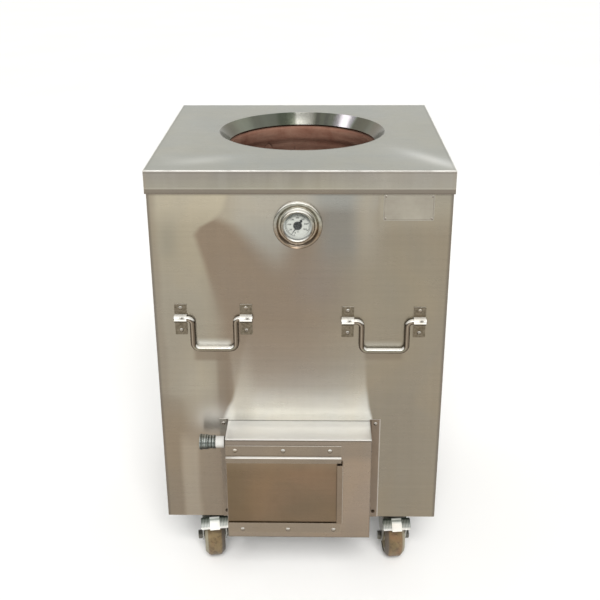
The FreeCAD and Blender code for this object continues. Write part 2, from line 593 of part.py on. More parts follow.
kn = revolve([(0, 15), (10.5, 15), (12.5, 13.8), (14, 3), (15, 2.2), (15, 0), (4, 0), (4, -10), (0, -10)])
for k in range(12):
    a = math.radians(30 * k + 15)
    kn = kn.cut(cyl(1.9, 14.9 * math.cos(a), 14.9 * math.sin(a), 2.6, 20))
kn = kn.fuse(box(-1.1, 1.1, 1, 11.5, 14.4, 15.8))
kn.rotate(V(0, 0, 0), V(1, 0, 0), 90)
kn.translate(V(0, -361.5, CZ))
put("cock_knob", kn.removeSplitter())

# ---------------------------------------------------------------------------
# burner: cast head, venturi with a bell mouth, three feet on the base pan
# ---------------------------------------------------------------------------
head = revolve([(0, 188), (18, 188), (30, 194), (52, 198), (56, 202), (56, 216), (52, 220), (34, 223), (30, 228), (0, 230)], 0, POT_Y)
vent_o = Part.makeCylinder(15, 296, V(0, -262, CZ), V(0, 1, 0))
bell = Part.makeCone(25, 15, 50, V(0, -312, CZ), V(0, 1, 0))
burner = head.fuse([vent_o, bell]).removeSplitter()
for a in (30, 150, 270):
    arm = box(30, 96, -6, 6, 194, 203)
    leg = box(88, 96, -6, 6, 133.7, 200)
    foot = box(84, 104, -9, 9, 133.7, 138)
    for s in (arm, leg, foot):
        s.rotate(V(0, 0, 0), V(0, 0, 1), a)
        s.translate(V(0, POT_Y, 0))
        burner = burner.fuse(s)
burner = burner.cut([Part.makeCylinder(11.5, 300, V(0, -275, CZ), V(0, 1, 0)),
                     Part.makeCone(22, 11.5, 40, V(0, -313, CZ), V(0, 1, 0))])
ports = []
chamber = revolve([(0, 201), (49, 201), (49, 212.5), (0, 212.5)], 0, POT_Y)
burner = burner.cut(chamber)
for k in range(24):
    a = math.radians(15 * k)
    ports.append(Part.makeCylinder(2.0, 12, V(48 * math.cos(a), POT_Y + 48 * math.sin(a), 210), V(math.cos(a), math.sin(a), 0)))
burner = burner.cut(ports)
put("burner", burner.removeSplitter())

# pilot burner with its line, thermocouple with its lead
PX, TX = -68.0, -86.0
pb = cyl(5, PX, 12, 200, 30).cut(cyl(3.2, PX, 12, 210, 22))
pb = pb.fuse(tube([(PX, 12, 202), (PX, 12, 176), (PX, -284, 176), (PX, -304, 240), (PX, -325, 240)], [14, 22, 12], 2.4))
br = box(TX - 5, -48, 8, 16, 204, 206.5).cut(PARTS["burner"])
pb = pb.fuse(br)
pb = pb.cut(cyl(3.4, TX, 12, 180, 60))
put("pilot_burner", pb.removeSplitter())
tc = cyl(3.2, TX, 12, 194, 36).fuse(Part.makeCone(3.2, 1.6, 3, V(TX, 12, 230)))
tc = tc.fuse(tube([(TX, 12, 197), (TX, 12, 168), (TX, -284, 168), (TX, -304, 262), (TX, -325, 262)], [14, 20, 10], 1.6))
put("thermocouple", tc.removeSplitter())

# ---------------------------------------------------------------------------
# casters
# ---------------------------------------------------------------------------
PLATE_Z0 = 128.2
plates, kingpins, cbolts = [], [], []
for name, (cx, cy, yaw, brake) in CASTERS.items():
    pl = box(-48, 48, -35, 35, PLATE_Z0, BODY_Z0)
    pl = fillet_where(pl, 6, lambda e: along(e, 2))
    race = revolve([(6.05, 120.2), (22, 120.2), (26.5, 122.2), (28.5, 128.3), (6.05, 128.3)])
    pl = pl.fuse(race).cut(cyl(6.05, 0, 0, 115, 30))
    pl = pl.cut([cyl(4.4, dx, dy, 120, 20) for dx in (-37.5, 37.5) for dy in (-22.5, 22.5)])
    pl.translate(V(cx, cy, 0))
    plates.append(pl.removeSplitter())
    kp = revolve([(0, 103.8), (7, 103.8), (10.5, 105.6), (10.5, 109.2), (KING_R, 109.2), (KING_R, 132.1), (0, 132.1)])
    kp.translate(V(cx, cy, 0))
    kingpins.append(kp)

    def place(s):
        s.rotate(V(0, 0, 0), V(0, 0, 1), yaw)
        s.translate(V(cx, cy, 0))
        return s

    # fork: crown and two legs, local -Y is the trailing side
    prof = face_of([
        seg((0, 25, 113), (0, -72, 113)), seg((0, -72, 113), (0, -72, 98)), seg((0, -72, 98), (0, -49.2, 45)),
        arc3((0, -49.2, 45), (0, -36, 36), (0, -22.8, 45)), seg((0, -22.8, 45), (0, 25, 100)), seg((0, 25, 100), (0, 25, 113))])
    fk = prof.extrude(V(56, 0, 0))
    fk.translate(V(-28, 0, 0))
    fk = fillet_where(fk, 3.0, lambda e: along(e, 1) and mid(e).z > 112.9)
    gap = box(-25, 25, -120, 60, 0, 110)
    gap = fillet_where(gap, 1.0, lambda e: along(e, 1) and mid(e).z > 109.9)
    fk = fk.cut(gap)
    fk = fk.fuse(revolve([(KING_R + RUN, 112), (28, 112), (27, 115.5), (21.5, 119.2), (KING_R + RUN, 119.2)]))
    fk = fk.cut([cyl(KING_R + RUN, 0, 0, 100, 30),
                 Part.makeCylinder(AXLE_R + 0.05, 80, V(-40, -TRAIL, WHEEL_R), V(1, 0, 0))])
    if brake:
        fk = fk.cut(Part.makeCylinder(3 + RUN, 80, V(-40, -62, 104), V(1, 0, 0)))
    put("fork_" + name, place(fk.removeSplitter()))

    # tyre and wheel core
    w2 = WHEEL_W / 2
    tread = [(36, w2 - 2.4), (37.5, w2), (40, w2 - 0.4), (44.5, w2 - 4.4), (48.2, w2 - 8.3), (49.6, w2 - 10.2), (50, w2 - 12.2)]
    ty = revolve([(r, -q) for r, q in tread] + [(r, q) for r, q in reversed(tread)])
    hb = revolve([(AXLE_R + RUN, -24), (12, -24), (13, -23), (14.5, -7), (29, -6), (31, -20.4), (35.95, -20.4),
                  (35.95, 20.4), (31, 20.4), (29, 6), (14.5, 7), (13, 23), (12, 24), (AXLE_R + RUN, 24)])
    for part, nm in ((ty, "tyre_"), (hb, "hub_")):
        part.rotate(V(0, 0, 0), V(0, 1, 0), 90)
        part.translate(V(0, -TRAIL, WHEEL_R))
        put(nm + name, place(part))

    # axle bolt, head on the inner side, nut on the outer side
    sgn = -1 if cx < 0 else 1       # outer side
    bolt = Part.makeCylinder(AXLE_R, 28 + 38, V(0, 0, -28.1)).fuse(nut_solid(19, 7.5).translated(V(0, 0, -35.6)))
    nut = nut_solid(19, 9.5, AXLE_R + 0.05).translated(V(0, 0, 28.1))
    axle = Part.makeCompound([bolt.removeSplitter(), nut])
    axle.rotate(V(0, 0, 0), V(0, 1, 0), 90 * sgn)
    axle.translate(V(0, -TRAIL, WHEEL_R))
    put("axle_" + name, place(axle))

    if brake:
        # pedal: pin, shoe over the tyre, ribbed tread plate
        pd = Part.makeCylinder(3.0, 59, V(-29.5, -62, 104), V(1, 0, 0))
        pd = pd.fuse(Part.makeCylinder(5.5, 47, V(-23.5, -62, 104), V(1, 0, 0)))
        # tread plate slopes down and forward; its web comes up in front of the fork's crown
        arm = poly_face([(-22, -62, 109.3), (-22, -62, 104.5), (-22, -79, 105.0), (-22, -87, 108.6), (-22, -75.0, 119.4), (-22, -73.8, 118.0),
                         (-22, -73.8, 109.3)]).extrude(V(44, 0, 0))
        tread = poly_face([(-31, -74.0, 123.0), (-31, -94.5, 104.5), (-31, -92.36, 102.12), (-31, -71.86, 120.62)]).extrude(V(62, 0, 0))
        tread = fillet_where(tread, 3.0, lambda e: e.Length < 3.3)
        shoe = poly_face([(-20, -58.2, 105.2), (-20, -66.0, 103.2), (-20, -62.2, 96.6), (-20, -56.4, 97.4)]).extrude(V(40, 0, 0))
        shoe = shoe.cut(Part.makeCylinder(WHEEL_R + 0.9, 60, V(-30, -TRAIL, WHEEL_R), V(1, 0, 0)))
        pd = pd.fuse([arm, tread, shoe])
        slope = lambda x, d, q: (x, -74.0 - 0.7425 * d - 0.670 * q, 123.0 - 0.670 * d + 0.7425 * q)
        ribs = [poly_face([slope(-11, 0.2, -0.4), slope(-11, 1.4, 1.3), slope(-11, 28.9, 1.3), slope(-11, 30.4, -0.2), slope(-11, 30.4, -3.4),
                           slope(-11, 26.6, -3.0), slope(-11, 26.6, -0.4)]).extrude(V(22, 0, 0))]
        for k in range(5):
            for sd in (-1, 1):
                rx = sd * (14.4 + 3.5 * k) - 0.85
                ribs.append(poly_face([slope(rx, 0.8, -0.4), slope(rx, 1.7, 0.8), slope(rx, 26.0, 0.8), slope(rx, 26.9, -0.4)]).extrude(V(1.7, 0, 0)))
        pd = pd.fuse(ribs)
        put("brake_pedal_" + name, place(pd.removeSplitter()))

for x, y in bolt_xy:
    bl = nut_solid(13, 5.3).translated(V(x, y, PLATE_Z0 - 5.3)).fuse(cyl(4, x, y, PLATE_Z0 - 0.5, 19.5))
    nt = nut_solid(13, 6.5, 4.05).translated(V(x, y, FZ + 5))
    cbolts += [bl.removeSplitter(), nt]
put("caster_plates", Part.makeCompound(plates))
put("kingpins", Part.makeCompound(kingpins))
put("caster_bolts", Part.makeCompound(cbolts))

# ---------------------------------------------------------------------------
# export
# ---------------------------------------------------------------------------
lo = [1e9] * 3
hi = [-1e9] * 3
for name, shape in PARTS.items():
    shape = shape.copy()
    shape.translate(V(0, Y_SHIFT, 0))
    bad = [s for s in shape.Solids if not s.isValid() or s.Volume <= 0]
    if bad or not shape.Solids:
        print("CHECK", name, "solids", len(shape.Solids), "bad", len(bad))
    bbx = shape.BoundBox
    lo = [min(lo[0], bbx.XMin), min(lo[1], bbx.YMin), min(lo[2], bbx.ZMin)]
    hi = [max(hi[0], bbx.XMax), max(hi[1], bbx.YMax), max(hi[2], bbx.ZMax)]
    shape.exportStep("parts/%s.step" % name)
print("nodes", len(PARTS), "box", [round(v, 3) for v in lo], [round(v, 3) for v in hi], "y shift", Y_SHIFT)
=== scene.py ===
import bpy, bmesh, math
import numpy as np
from mathutils import Vector, Matrix, noise as mnoise


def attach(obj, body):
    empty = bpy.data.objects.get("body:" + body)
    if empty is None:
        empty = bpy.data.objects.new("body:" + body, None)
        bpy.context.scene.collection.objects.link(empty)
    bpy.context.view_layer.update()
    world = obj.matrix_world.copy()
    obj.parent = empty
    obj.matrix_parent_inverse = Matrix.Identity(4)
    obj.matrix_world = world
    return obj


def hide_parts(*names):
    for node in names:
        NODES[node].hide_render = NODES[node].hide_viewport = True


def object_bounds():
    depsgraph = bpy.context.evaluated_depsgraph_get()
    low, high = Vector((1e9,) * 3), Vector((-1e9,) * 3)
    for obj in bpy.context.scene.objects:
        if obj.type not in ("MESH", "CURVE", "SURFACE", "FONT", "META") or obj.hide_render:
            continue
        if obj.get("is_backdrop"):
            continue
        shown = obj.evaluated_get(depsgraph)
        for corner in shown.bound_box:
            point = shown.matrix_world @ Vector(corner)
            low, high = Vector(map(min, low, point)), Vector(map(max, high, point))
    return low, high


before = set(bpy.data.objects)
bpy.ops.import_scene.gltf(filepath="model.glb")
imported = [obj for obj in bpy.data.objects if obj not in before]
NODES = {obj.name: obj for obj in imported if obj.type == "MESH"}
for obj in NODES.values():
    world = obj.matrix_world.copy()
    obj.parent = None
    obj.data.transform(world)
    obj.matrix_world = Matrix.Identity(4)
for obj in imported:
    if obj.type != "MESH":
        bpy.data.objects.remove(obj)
CAD_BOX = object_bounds()
COL = bpy.context.scene.collection

YS = 0.0432                     # row frame = deck-centred frame + this much in y
POT_Y = 0.0356 + YS
F = -0.302 + YS                 # outer face of the front panel
GX, GZ = -0.0037, 0.8280        # thermometer
BOX_Y = -0.381 + YS             # front face of the burner box


# ----------------------------------------------------------------------------------------------------------------------
# a small language for node materials
# ----------------------------------------------------------------------------------------------------------------------
class Mat:
    def __init__(self, name):
        self.m = bpy.data.materials.new(name)
        self.m.use_nodes = True
        self.t = self.m.node_tree
        self.t.nodes.clear()
        self.out = self.new("ShaderNodeOutputMaterial")
        self.b = self.new("ShaderNodeBsdfPrincipled")
        self.t.links.new(self.b.outputs[0], self.out.inputs[0])
        tc = self.new("ShaderNodeTexCoord")
        self.co, self.no = tc.outputs["Object"], tc.outputs["Normal"]
        self._xyz = None
        self._n = None

    def new(self, kind, **props):
        n = self.t.nodes.new(kind)
        for k, v in props.items():
            setattr(n, k, v)
        return n

    def put(self, sock, v):
        if isinstance(v, bpy.types.NodeSocket):
            self.t.links.new(v, sock)
        elif isinstance(v, (tuple, list)) and len(v) == 3 and len(sock.default_value) == 4:
            sock.default_value = (*v, 1.0)
        else:
            sock.default_value = v

    def math(self, op, a, b=0.0, c=None, clamp=False):
        n = self.new("ShaderNodeMath", operation=op, use_clamp=clamp)
        self.put(n.inputs[0], a)
        self.put(n.inputs[1], b)
        if c is not None:
            self.put(n.inputs[2], c)
        return n.outputs[0]

    def add(self, a, b): return self.math("ADD", a, b)
    def sub(self, a, b): return self.math("SUBTRACT", a, b)
    def mul(self, a, b): return self.math("MULTIPLY", a, b)
    def clamp(self, a): return self.math("ADD", a, 0.0, clamp=True)

    def mix(self, f, a, b, mode="MIX"):
        n = self.new("ShaderNodeMix", data_type="RGBA", blend_type=mode)
        self.put(n.inputs[0], f)
        self.put(n.inputs[6], a)
        self.put(n.inputs[7], b)
        return n.outputs[2]

    def mixf(self, f, a, b):
        n = self.new("ShaderNodeMix", data_type="FLOAT")
        self.put(n.inputs[0], f)
        self.put(n.inputs[2], a)
        self.put(n.inputs[3], b)
        return n.outputs[0]

    def rng(self, v, a, b, c=0.0, d=1.0, smooth=False):
        n = self.new("ShaderNodeMapRange", interpolation_type="SMOOTHSTEP" if smooth else "LINEAR", clamp=True)
        for s, x in zip(n.inputs, (v, a, b, c, d)):
            self.put(s, x)
        return n.outputs[0]

    def xyz(self):
        if not self._xyz:
            n = self.new("ShaderNodeSeparateXYZ")
            self.put(n.inputs[0], self.co)
            self._xyz = tuple(n.outputs)
        return self._xyz

    def nxyz(self):
        if not self._n:
            n = self.new("ShaderNodeSeparateXYZ")
            self.put(n.inputs[0], self.no)
            self._n = tuple(self.math("ABSOLUTE", s) for s in n.outputs)
        return self._n

    def sn(self):
        """Signed normal."""
        n = self.new("ShaderNodeSeparateXYZ")
        self.put(n.inputs[0], self.no)
        return tuple(n.outputs)

    def map(self, scale=(1, 1, 1), off=(0, 0, 0), rot=(0, 0, 0)):
        n = self.new("ShaderNodeMapping")
        self.put(n.inputs[0], self.co)
        n.inputs["Location"].default_value = off
        n.inputs["Rotation"].default_value = rot
        n.inputs["Scale"].default_value = scale
        return n.outputs[0]

    def noise(self, scale=(1, 1, 1), detail=2.0, rough=0.5, off=(0, 0, 0), rot=(0, 0, 0), dist=0.0):
        if not isinstance(scale, (tuple, list)):
            scale = (scale,) * 3
        n = self.new("ShaderNodeTexNoise")
        self.put(n.inputs["Vector"], self.map(scale, off, rot))
        n.inputs["Scale"].default_value = 1.0
        n.inputs["Detail"].default_value = detail
        n.inputs["Roughness"].default_value = rough
        n.inputs["Distortion"].default_value = dist
        return n.outputs["Fac"]

    def voronoi(self, scale, feature="F1", off=(0, 0, 0), out="Distance"):
        if not isinstance(scale, (tuple, list)):
            scale = (scale,) * 3
        n = self.new("ShaderNodeTexVoronoi", feature=feature)
        self.put(n.inputs["Vector"], self.map(scale, off))
        n.inputs["Scale"].default_value = 1.0
        return n.outputs[out]

    def bump(self, h, strength=0.3, dist=0.0005, normal=None):
        n = self.new("ShaderNodeBump")
        n.inputs["Strength"].default_value = strength
        n.inputs["Distance"].default_value = dist
        self.put(n.inputs["Height"], h)
        if normal is not None:
            self.put(n.inputs["Normal"], normal)
        return n.outputs[0]

    def bevel(self, radius):
        n = self.new("ShaderNodeBevel", samples=4)
        n.inputs["Radius"].default_value = radius
        return n.outputs[0]

    def edge(self, radius, gain=1.0):
        """1 along edges, 0 on flat ground."""
        g = self.new("ShaderNodeNewGeometry")
        d = self.new("ShaderNodeVectorMath", operation="DOT_PRODUCT")
        self.put(d.inputs[0], self.bevel(radius))
        self.put(d.inputs[1], g.outputs["Normal"])
        return self.clamp(self.mul(self.sub(1.0, d.outputs["Value"]), 4.0 * gain))

    def blob(self, cx, cz, rx, rz, u=None, v=None):
        """Soft elliptical patch in x and z (or other sockets), 1 in its middle."""
        x, y, z = self.xyz()
        u = x if u is None else u
        v = z if v is None else v
        a = self.math("POWER", self.mul(self.sub(u, cx), 1.0 / rx), 2.0)
        b = self.math("POWER", self.mul(self.sub(v, cz), 1.0 / rz), 2.0)
        return self.math("EXPONENT", self.mul(self.add(a, b), -1.0))

    def band(self, v, lo, hi, s0, s1=None):
        """1 between lo and hi, with soft sides of width s0 and s1."""
        s1 = s0 if s1 is None else s1
        return self.mul(self.rng(v, lo - s0 / 2, lo + s0 / 2, smooth=True), self.rng(v, hi - s1 / 2, hi + s1 / 2, 1.0, 0.0, smooth=True))

    def line(self, v, pts):
        """Piecewise straight function of v through (v, value) points, v rising."""
        out = None
        for (a, b), (c, d) in zip(pts, pts[1:]):
            seg = self.rng(v, a, c, 0.0, d - b)
            out = seg if out is None else self.add(out, seg)
        return self.add(out, pts[0][1])

    def step(self, v, at, soft, up=True):
        """0 to 1 as v passes at (which may be a socket)."""
        d = self.sub(v, at)
        return self.rng(d, -soft / 2, soft / 2, 0.0 if up else 1.0, 1.0 if up else 0.0, smooth=True)

    def streak(self, cx, cy, ang, half_long, half_wide):
        """Soft streak in plan (x, y), along the direction ang."""
        x, y, z = self.xyz()
        c, s = math.cos(ang), math.sin(ang)
        dx, dy = self.sub(x, cx), self.sub(y, cy)
        u = self.add(self.mul(dx, c), self.mul(dy, s))
        v = self.add(self.mul(dx, -s), self.mul(dy, c))
        return self.blob(0.0, 0.0, half_long, half_wide, u, v)

    def set(self, **kw):
        names = {"base": "Base Color", "metal": "Metallic", "rough": "Roughness", "normal": "Normal", "spec": "Specular IOR Level",
                 "coat": "Coat Weight", "coat_rough": "Coat Roughness", "aniso": "Anisotropic", "rot": "Anisotropic Rotation",
                 "alpha": "Alpha", "sheen": "Sheen Weight", "trans": "Transmission Weight", "ior": "IOR", "tangent": "Tangent",
                 "emit": "Emission Color", "emit_s": "Emission Strength"}
        for k, v in kw.items():
            self.put(self.b.inputs[names[k]], v)
        return self


def hexmix(c, k):
    return tuple(x * k for x in c)


# ----------------------------------------------------------------------------------------------------------------------
# sheet steel: fine rolled grain, slow waviness, smudges, painted highlights along the edges
# ----------------------------------------------------------------------------------------------------------------------
def steel(name, base, rough=0.27, grain=0.05, blotch=0.07, smudge=0.05, wave=0.5, edge=0.35, bevel=0.0007, aniso=0.45,
          axis="Z", rot=0.25, paint=None, fine=1300.0, seed=0.0, dirt=0.0, marks=None, dull=None):
    g = Mat(name)
    x, y, z = g.xyz()
    nx, ny, nz = g.nxyz()
    # grain runs along x on faces that look forward or up, and along y on the sides
    gx = g.noise((14, fine, fine), 3, 0.6, (seed, 0, 0))
    gy = g.noise((fine, 14, fine), 3, 0.6, (seed, 3, 0))
    side = g.rng(nx, 0.5, 0.8)
    fine_g = g.mixf(side, gx, gy)
    wide = g.mixf(side, g.noise((3.5, 120, 120), 3, 0.55, (seed, 7, 1)), g.noise((120, 3.5, 120), 3, 0.55, (seed, 9, 1)))
    column = g.noise((26, 26, 1.6), 3, 0.5, (seed + 4, 1, 2))
    cloud = g.noise((5.5, 5.5, 4.0), 3, 0.55, (seed + 2, 5, 8), dist=0.6)
    cloud2 = g.noise(17.0, 4, 0.6, (seed + 11, 2, 3), dist=1.0)
    finger = g.rng(g.noise(42.0, 5, 0.65, (seed + 6, 0, 1), dist=1.4), 0.57, 0.72)
    col = base
    if paint:
        col = paint(g, col)
    v = g.add(g.mul(g.sub(fine_g, 0.5), grain * 2), g.mul(g.sub(wide, 0.5), grain * 2.2))
    v = g.add(v, g.mul(g.sub(column, 0.5), blotch * 1.6))
    v = g.add(v, g.mul(g.sub(g.noise((130, 130, 5), 3, 0.6, (seed + 7, 2, 4)), 0.5), blotch * 0.9))
    v = g.add(v, g.mul(g.sub(cloud, 0.5), blotch * 2.4))
    v = g.add(v, g.mul(g.sub(cloud2, 0.5), blotch * 0.9))
    v = g.add(v, 1.0)
    # painted highlight: the colour is raised along edges
    e = g.edge(bevel * 2.2)
    v = g.mul(v, g.add(1.0, g.mul(e, edge)))
    if dirt:
        d = g.mul(g.rng(cloud2, 0.5, 0.72), dirt)
        v = g.mul(v, g.sub(1.0, d))
    n = g.new("ShaderNodeVectorMath", operation="SCALE")
    g.put(n.inputs[0], col)
    g.put(n.inputs["Scale"], v)
    # the cloudy patches lean a little warm and cool
    warm = g.mix(g.rng(cloud, 0.35, 0.65), (0.985, 1.0, 1.03), (1.02, 1.0, 0.97))
    col = g.mix(1.0, n.outputs[0], warm, "MULTIPLY")
    r = g.add(rough, g.mul(g.sub(fine_g, 0.5), 0.16))
    r = g.add(r, g.mul(g.sub(cloud2, 0.5), 0.10))
    r = g.add(r, g.mul(finger, smudge))
    r = g.sub(r, g.mul(e, 0.08))
    if dull:
        r = g.add(r, dull(g))
    met = 1.0
    if marks:
        # marks paints light into the colour: hi is a painted highlight on bends and edges, near white and less
        # metallic; lo darkens, mostly painted shade in gaps and laps
        hi, lo = marks(g)
        col = g.mix(lo, col, (0.085, 0.068, 0.052))
        col = g.mix(hi, col, (0.93, 0.915, 0.87))
        r = g.mixf(hi, r, 0.48)
        met = g.mixf(hi, 1.0, 0.45)
    nrm = g.bevel(bevel)
    nrm = g.bump(g.noise((2.6, 2.6, 1.9), 2, 0.45, (seed + 1, 4, 6)), wave, 0.010, nrm)
    nrm = g.bump(g.add(g.mul(fine_g, 0.6), wide), 0.09, 0.00025, nrm)
    t = g.new("ShaderNodeTangent", direction_type="RADIAL", axis=axis)
    g.set(base=col, metal=met, rough=g.clamp(r), normal=nrm, aniso=aniso, rot=rot, tangent=t.outputs[0])
    return g.m


def paint_front(g, base):
    """Tone of the front sheet, with the soft light and dark patches of the room's reflection painted into it."""
    x, y, z = g.xyz()
    w1 = g.mul(g.sub(g.noise((7, 7, 3.0), 3, 0.5, (3, 1, 9)), 0.5), 0.030)
    w2 = g.mul(g.sub(g.noise((9, 9, 9), 3, 0.55, (8, 4, 2)), 0.5), 0.050)
    xw, zw = g.add(x, w1), g.add(z, w2)
    brown = (0.268, 0.214, 0.162)
    tan = (0.303, 0.261, 0.200)
    sand = (0.405, 0.368, 0.288)
    cool = (0.385, 0.370, 0.325)
    slate = (0.250, 0.246, 0.226)
    dusk = (0.235, 0.185, 0.138)
    # brown middle, greyer and greener to the right
    col = g.mix(g.step(xw, 0.06, 0.16), brown, tan)
    col = g.mix(g.mul(g.blob(0.21, 0.70, 0.10, 0.16), 0.55), col, (0.300, 0.268, 0.205))
    # painted reflection: cool light patch left of the thermometer and under the skirt, with a straight left side
    cz = g.line(z, [(0.62, 0.0), (0.70, -0.040), (0.76, -0.072), (0.80, -0.102), (0.825, -0.130), (0.845, -0.172), (0.870, -0.203), (0.90, -0.225)])
    patch = g.mul(g.step(xw, cz, 0.060), g.step(z, 0.755, 0.12))
    cr_ = g.line(z, [(0.72, -0.035), (0.80, -0.018), (0.84, 0.020), (0.88, 0.055)])
    patch = g.mul(patch, g.step(x, cr_, 0.050, up=False))
    ptone = g.mix(g.rng(z, 0.800, 0.868, smooth=True), cool, (0.455, 0.430, 0.372))
    ptone = g.mix(g.mul(g.step(xw, -0.130, 0.05, up=False), 0.8), ptone, (0.415, 0.375, 0.300))
    col = g.mix(g.mul(patch, 0.88), col, ptone)
    # painted reflection: slate patch right of it, ending in a straight edge under the skirt
    sl = g.mul(g.band(xw, 0.035, 0.118, 0.05, 0.030), g.step(zw, 0.745, 0.10))
    col = g.mix(g.mul(sl, 0.70), col, slate)
    sl2 = g.mul(g.band(x, 0.03, 0.155, 0.05, 0.02), g.step(z, 0.862, 0.035))
    col = g.mix(g.mul(sl2, 0.75), col, (0.365, 0.365, 0.340))
    # painted reflection: a lighter upright band between it and the plate, running down and fading out
    lb = g.mul(g.band(xw, 0.112, 0.156, 0.045, 0.040), g.rng(z, 0.700, 0.875, 0.0, 0.80, smooth=True))
    col = g.mix(lb, col, (0.400, 0.366, 0.305))
    col = g.mix(g.mul(g.mul(g.step(x, 0.158, 0.010), g.step(z, 0.835, 0.07)), 0.70), col, (0.405, 0.372, 0.300))
    # painted shade, dull violet, below the thermometer
    col = g.mix(g.mul(g.blob(0.035, 0.700, 0.050, 0.060), 0.45), col, (0.245, 0.215, 0.195))
    # painted reflection: light sand-coloured wedge on the left, its right side leaning from top left to bottom right
    edge_x = g.line(z, [(0.38, -0.178), (0.468, -0.169), (0.564, -0.161), (0.62, -0.166), (0.687, -0.179), (0.748, -0.191), (0.8065, -0.207), (0.822, -0.197), (0.838, -0.170), (0.860, -0.152), (0.890, -0.142)])
    xe = g.add(x, g.mul(w1, 0.5))
    wedge = g.mixf(g.rng(z, 0.62, 0.74), g.step(xe, edge_x, 0.045, up=False), g.step(xe, edge_x, 0.016, up=False))
    wf = g.line(z, [(0.34, 0.15), (0.45, 0.62), (0.60, 0.72), (0.88, 1.0)])
    wtone = g.mix(g.rng(z, 0.800, 0.875, smooth=True), sand, (0.495, 0.450, 0.355))
    col = g.mix(g.mul(wedge, g.mul(wf, 0.92)), col, wtone)
    # painted reflection: the sheet is browner at its left margin and in a patch low on the left, then a light patch and
    # a grey spot
    col = g.mix(g.mul(g.step(xw, -0.284, 0.016, up=False), 0.55), col, (0.285, 0.240, 0.185))
    col = g.mix(g.mul(g.mul(g.step(xw, -0.248, 0.022, up=False), g.step(zw, 0.440, 0.03, up=False)), 0.62), col, (0.272, 0.222, 0.165))
    col = g.mix(g.mul(g.blob(-0.215, 0.470, 0.050, 0.060), 0.45), col, (0.475, 0.430, 0.345))
    col = g.mix(g.mul(g.blob(-0.263, 0.792, 0.018, 0.046), 0.42), col, (0.262, 0.250, 0.205))
    # painted reflection: lighter strip low down, between the brown margin and the burner box
    lowl = g.mul(g.band(xw, -0.262, -0.222, 0.016), g.step(zw, 0.335, 0.06, up=False))
    col = g.mix(g.mul(lowl, 0.80), col, (0.392, 0.338, 0.268))
    # painted shadow below each bail, darker under the left one
    sh = g.mul(g.band(x, -0.222, -0.150, 0.012), g.band(z, 0.527, 0.562, 0.010, 0.004))
    col = g.mix(g.mul(sh, 0.75), col, (0.250, 0.200, 0.148))
    sh2 = g.mul(g.band(x, 0.134, 0.214, 0.012), g.band(z, 0.530, 0.556, 0.012, 0.004))
    col = g.mix(g.mul(sh2, 0.55), col, (0.225, 0.182, 0.138))
    # painted highlights: pale bands just above the bails, light thrown up off their bars
    for bx0, bx1, bz, amp in ((-0.216, -0.146, 0.569, 0.85), (0.134, 0.212, 0.564, 0.45)):
        bail_glow = g.mul(g.band(x, bx0, bx1, 0.014), g.band(z, bz - 0.010, bz + 0.003, 0.006, 0.020))
        col = g.mix(g.mul(bail_glow, amp), col, (0.74, 0.73, 0.66))
    # painted reflection: brown column left of the burner box; then a painted pool of light above the box, the light its
    # bright top throws onto the sheet, brightest just above it
    col = g.mix(g.mul(g.mul(g.band(x, -0.176, -0.150, 0.012), g.step(z, 0.56, 0.08, up=False)), 0.65), col, dusk)
    left = g.line(z, [(0.385, -0.166), (0.394, -0.163), (0.415, -0.156), (0.43, -0.1475), (0.468, -0.137), (0.54, -0.124), (0.62, -0.10)])
    rt = g.line(z, [(0.385, 0.153), (0.415, 0.147), (0.47, 0.140), (0.56, 0.136)])
    side = g.mul(g.step(g.add(x, g.mul(w1, 0.4)), left, 0.012), g.step(x, rt, 0.010, up=False))
    zg = g.add(z, g.mul(w2, 0.45))
    up = g.line(zg, [(0.385, 1.0), (0.40, 0.95), (0.43, 0.67), (0.45, 0.42), (0.467, 0.26), (0.505, 0.12), (0.54, 0.06), (0.62, 0.0)])
    col = g.mix(g.mul(side, up), col, (0.785, 0.765, 0.700))
    col = g.mix(g.mul(side, g.rng(zg, 0.388, 0.420, 0.75, 0.0, smooth=True)), col, (0.960, 0.940, 0.870))
    # painted light: a paler stem rising from that pool
    stem = g.mul(g.band(xw, -0.146, -0.108, 0.010, 0.035), g.rng(z, 0.40, 0.60, 1.0, 0.0, smooth=True))
    col = g.mix(g.mul(stem, 0.45), col, (0.58, 0.545, 0.465))
    # dark joint line over the box, painted as shade in the gap, and painted shade under the skirt
    joint = g.mul(g.band(z, 0.3802, 0.3820, 0.0008), g.band(x, -0.158, 0.151, 0.004))
    col = g.mix(g.mul(joint, 0.75), col, (0.10, 0.085, 0.07))
    col = g.mix(g.mul(g.rng(z, 0.8865, 0.8905, smooth=True), 0.45), col, (0.13, 0.115, 0.095))
    col = g.mix(1.0, col, (0.94, 0.94, 0.93), "MULTIPLY")
    # painted shade: darker margin where the sheet turns round the corner
    mg = g.step(g.math("ABSOLUTE", x), 0.2965, 0.006)
    col = g.mix(g.mul(mg, 0.60), col, (0.150, 0.130, 0.108))
    return col


def marks_front(g):
    """Painted highlights: a glow just above the left bail and a light patch beside the gas inlet; and a darker speckled
    patch beside the inlet.
    """
    x, y, z = g.xyz()
    hi = g.mul(g.mul(g.band(x, -0.216, -0.148, 0.016), g.band(z, 0.560, 0.567, 0.004, 0.014)), 0.62)
    hi = g.math("MAXIMUM", hi, g.mul(g.blob(-0.188, 0.386, 0.032, 0.030), 0.44))
    lo = g.mul(g.mul(g.blob(-0.176, 0.372, 0.014, 0.010), g.rng(g.noise(160.0, 4, 0.65, (1, 1, 1)), 0.42, 0.60)), 0.75)
    return hi, lo


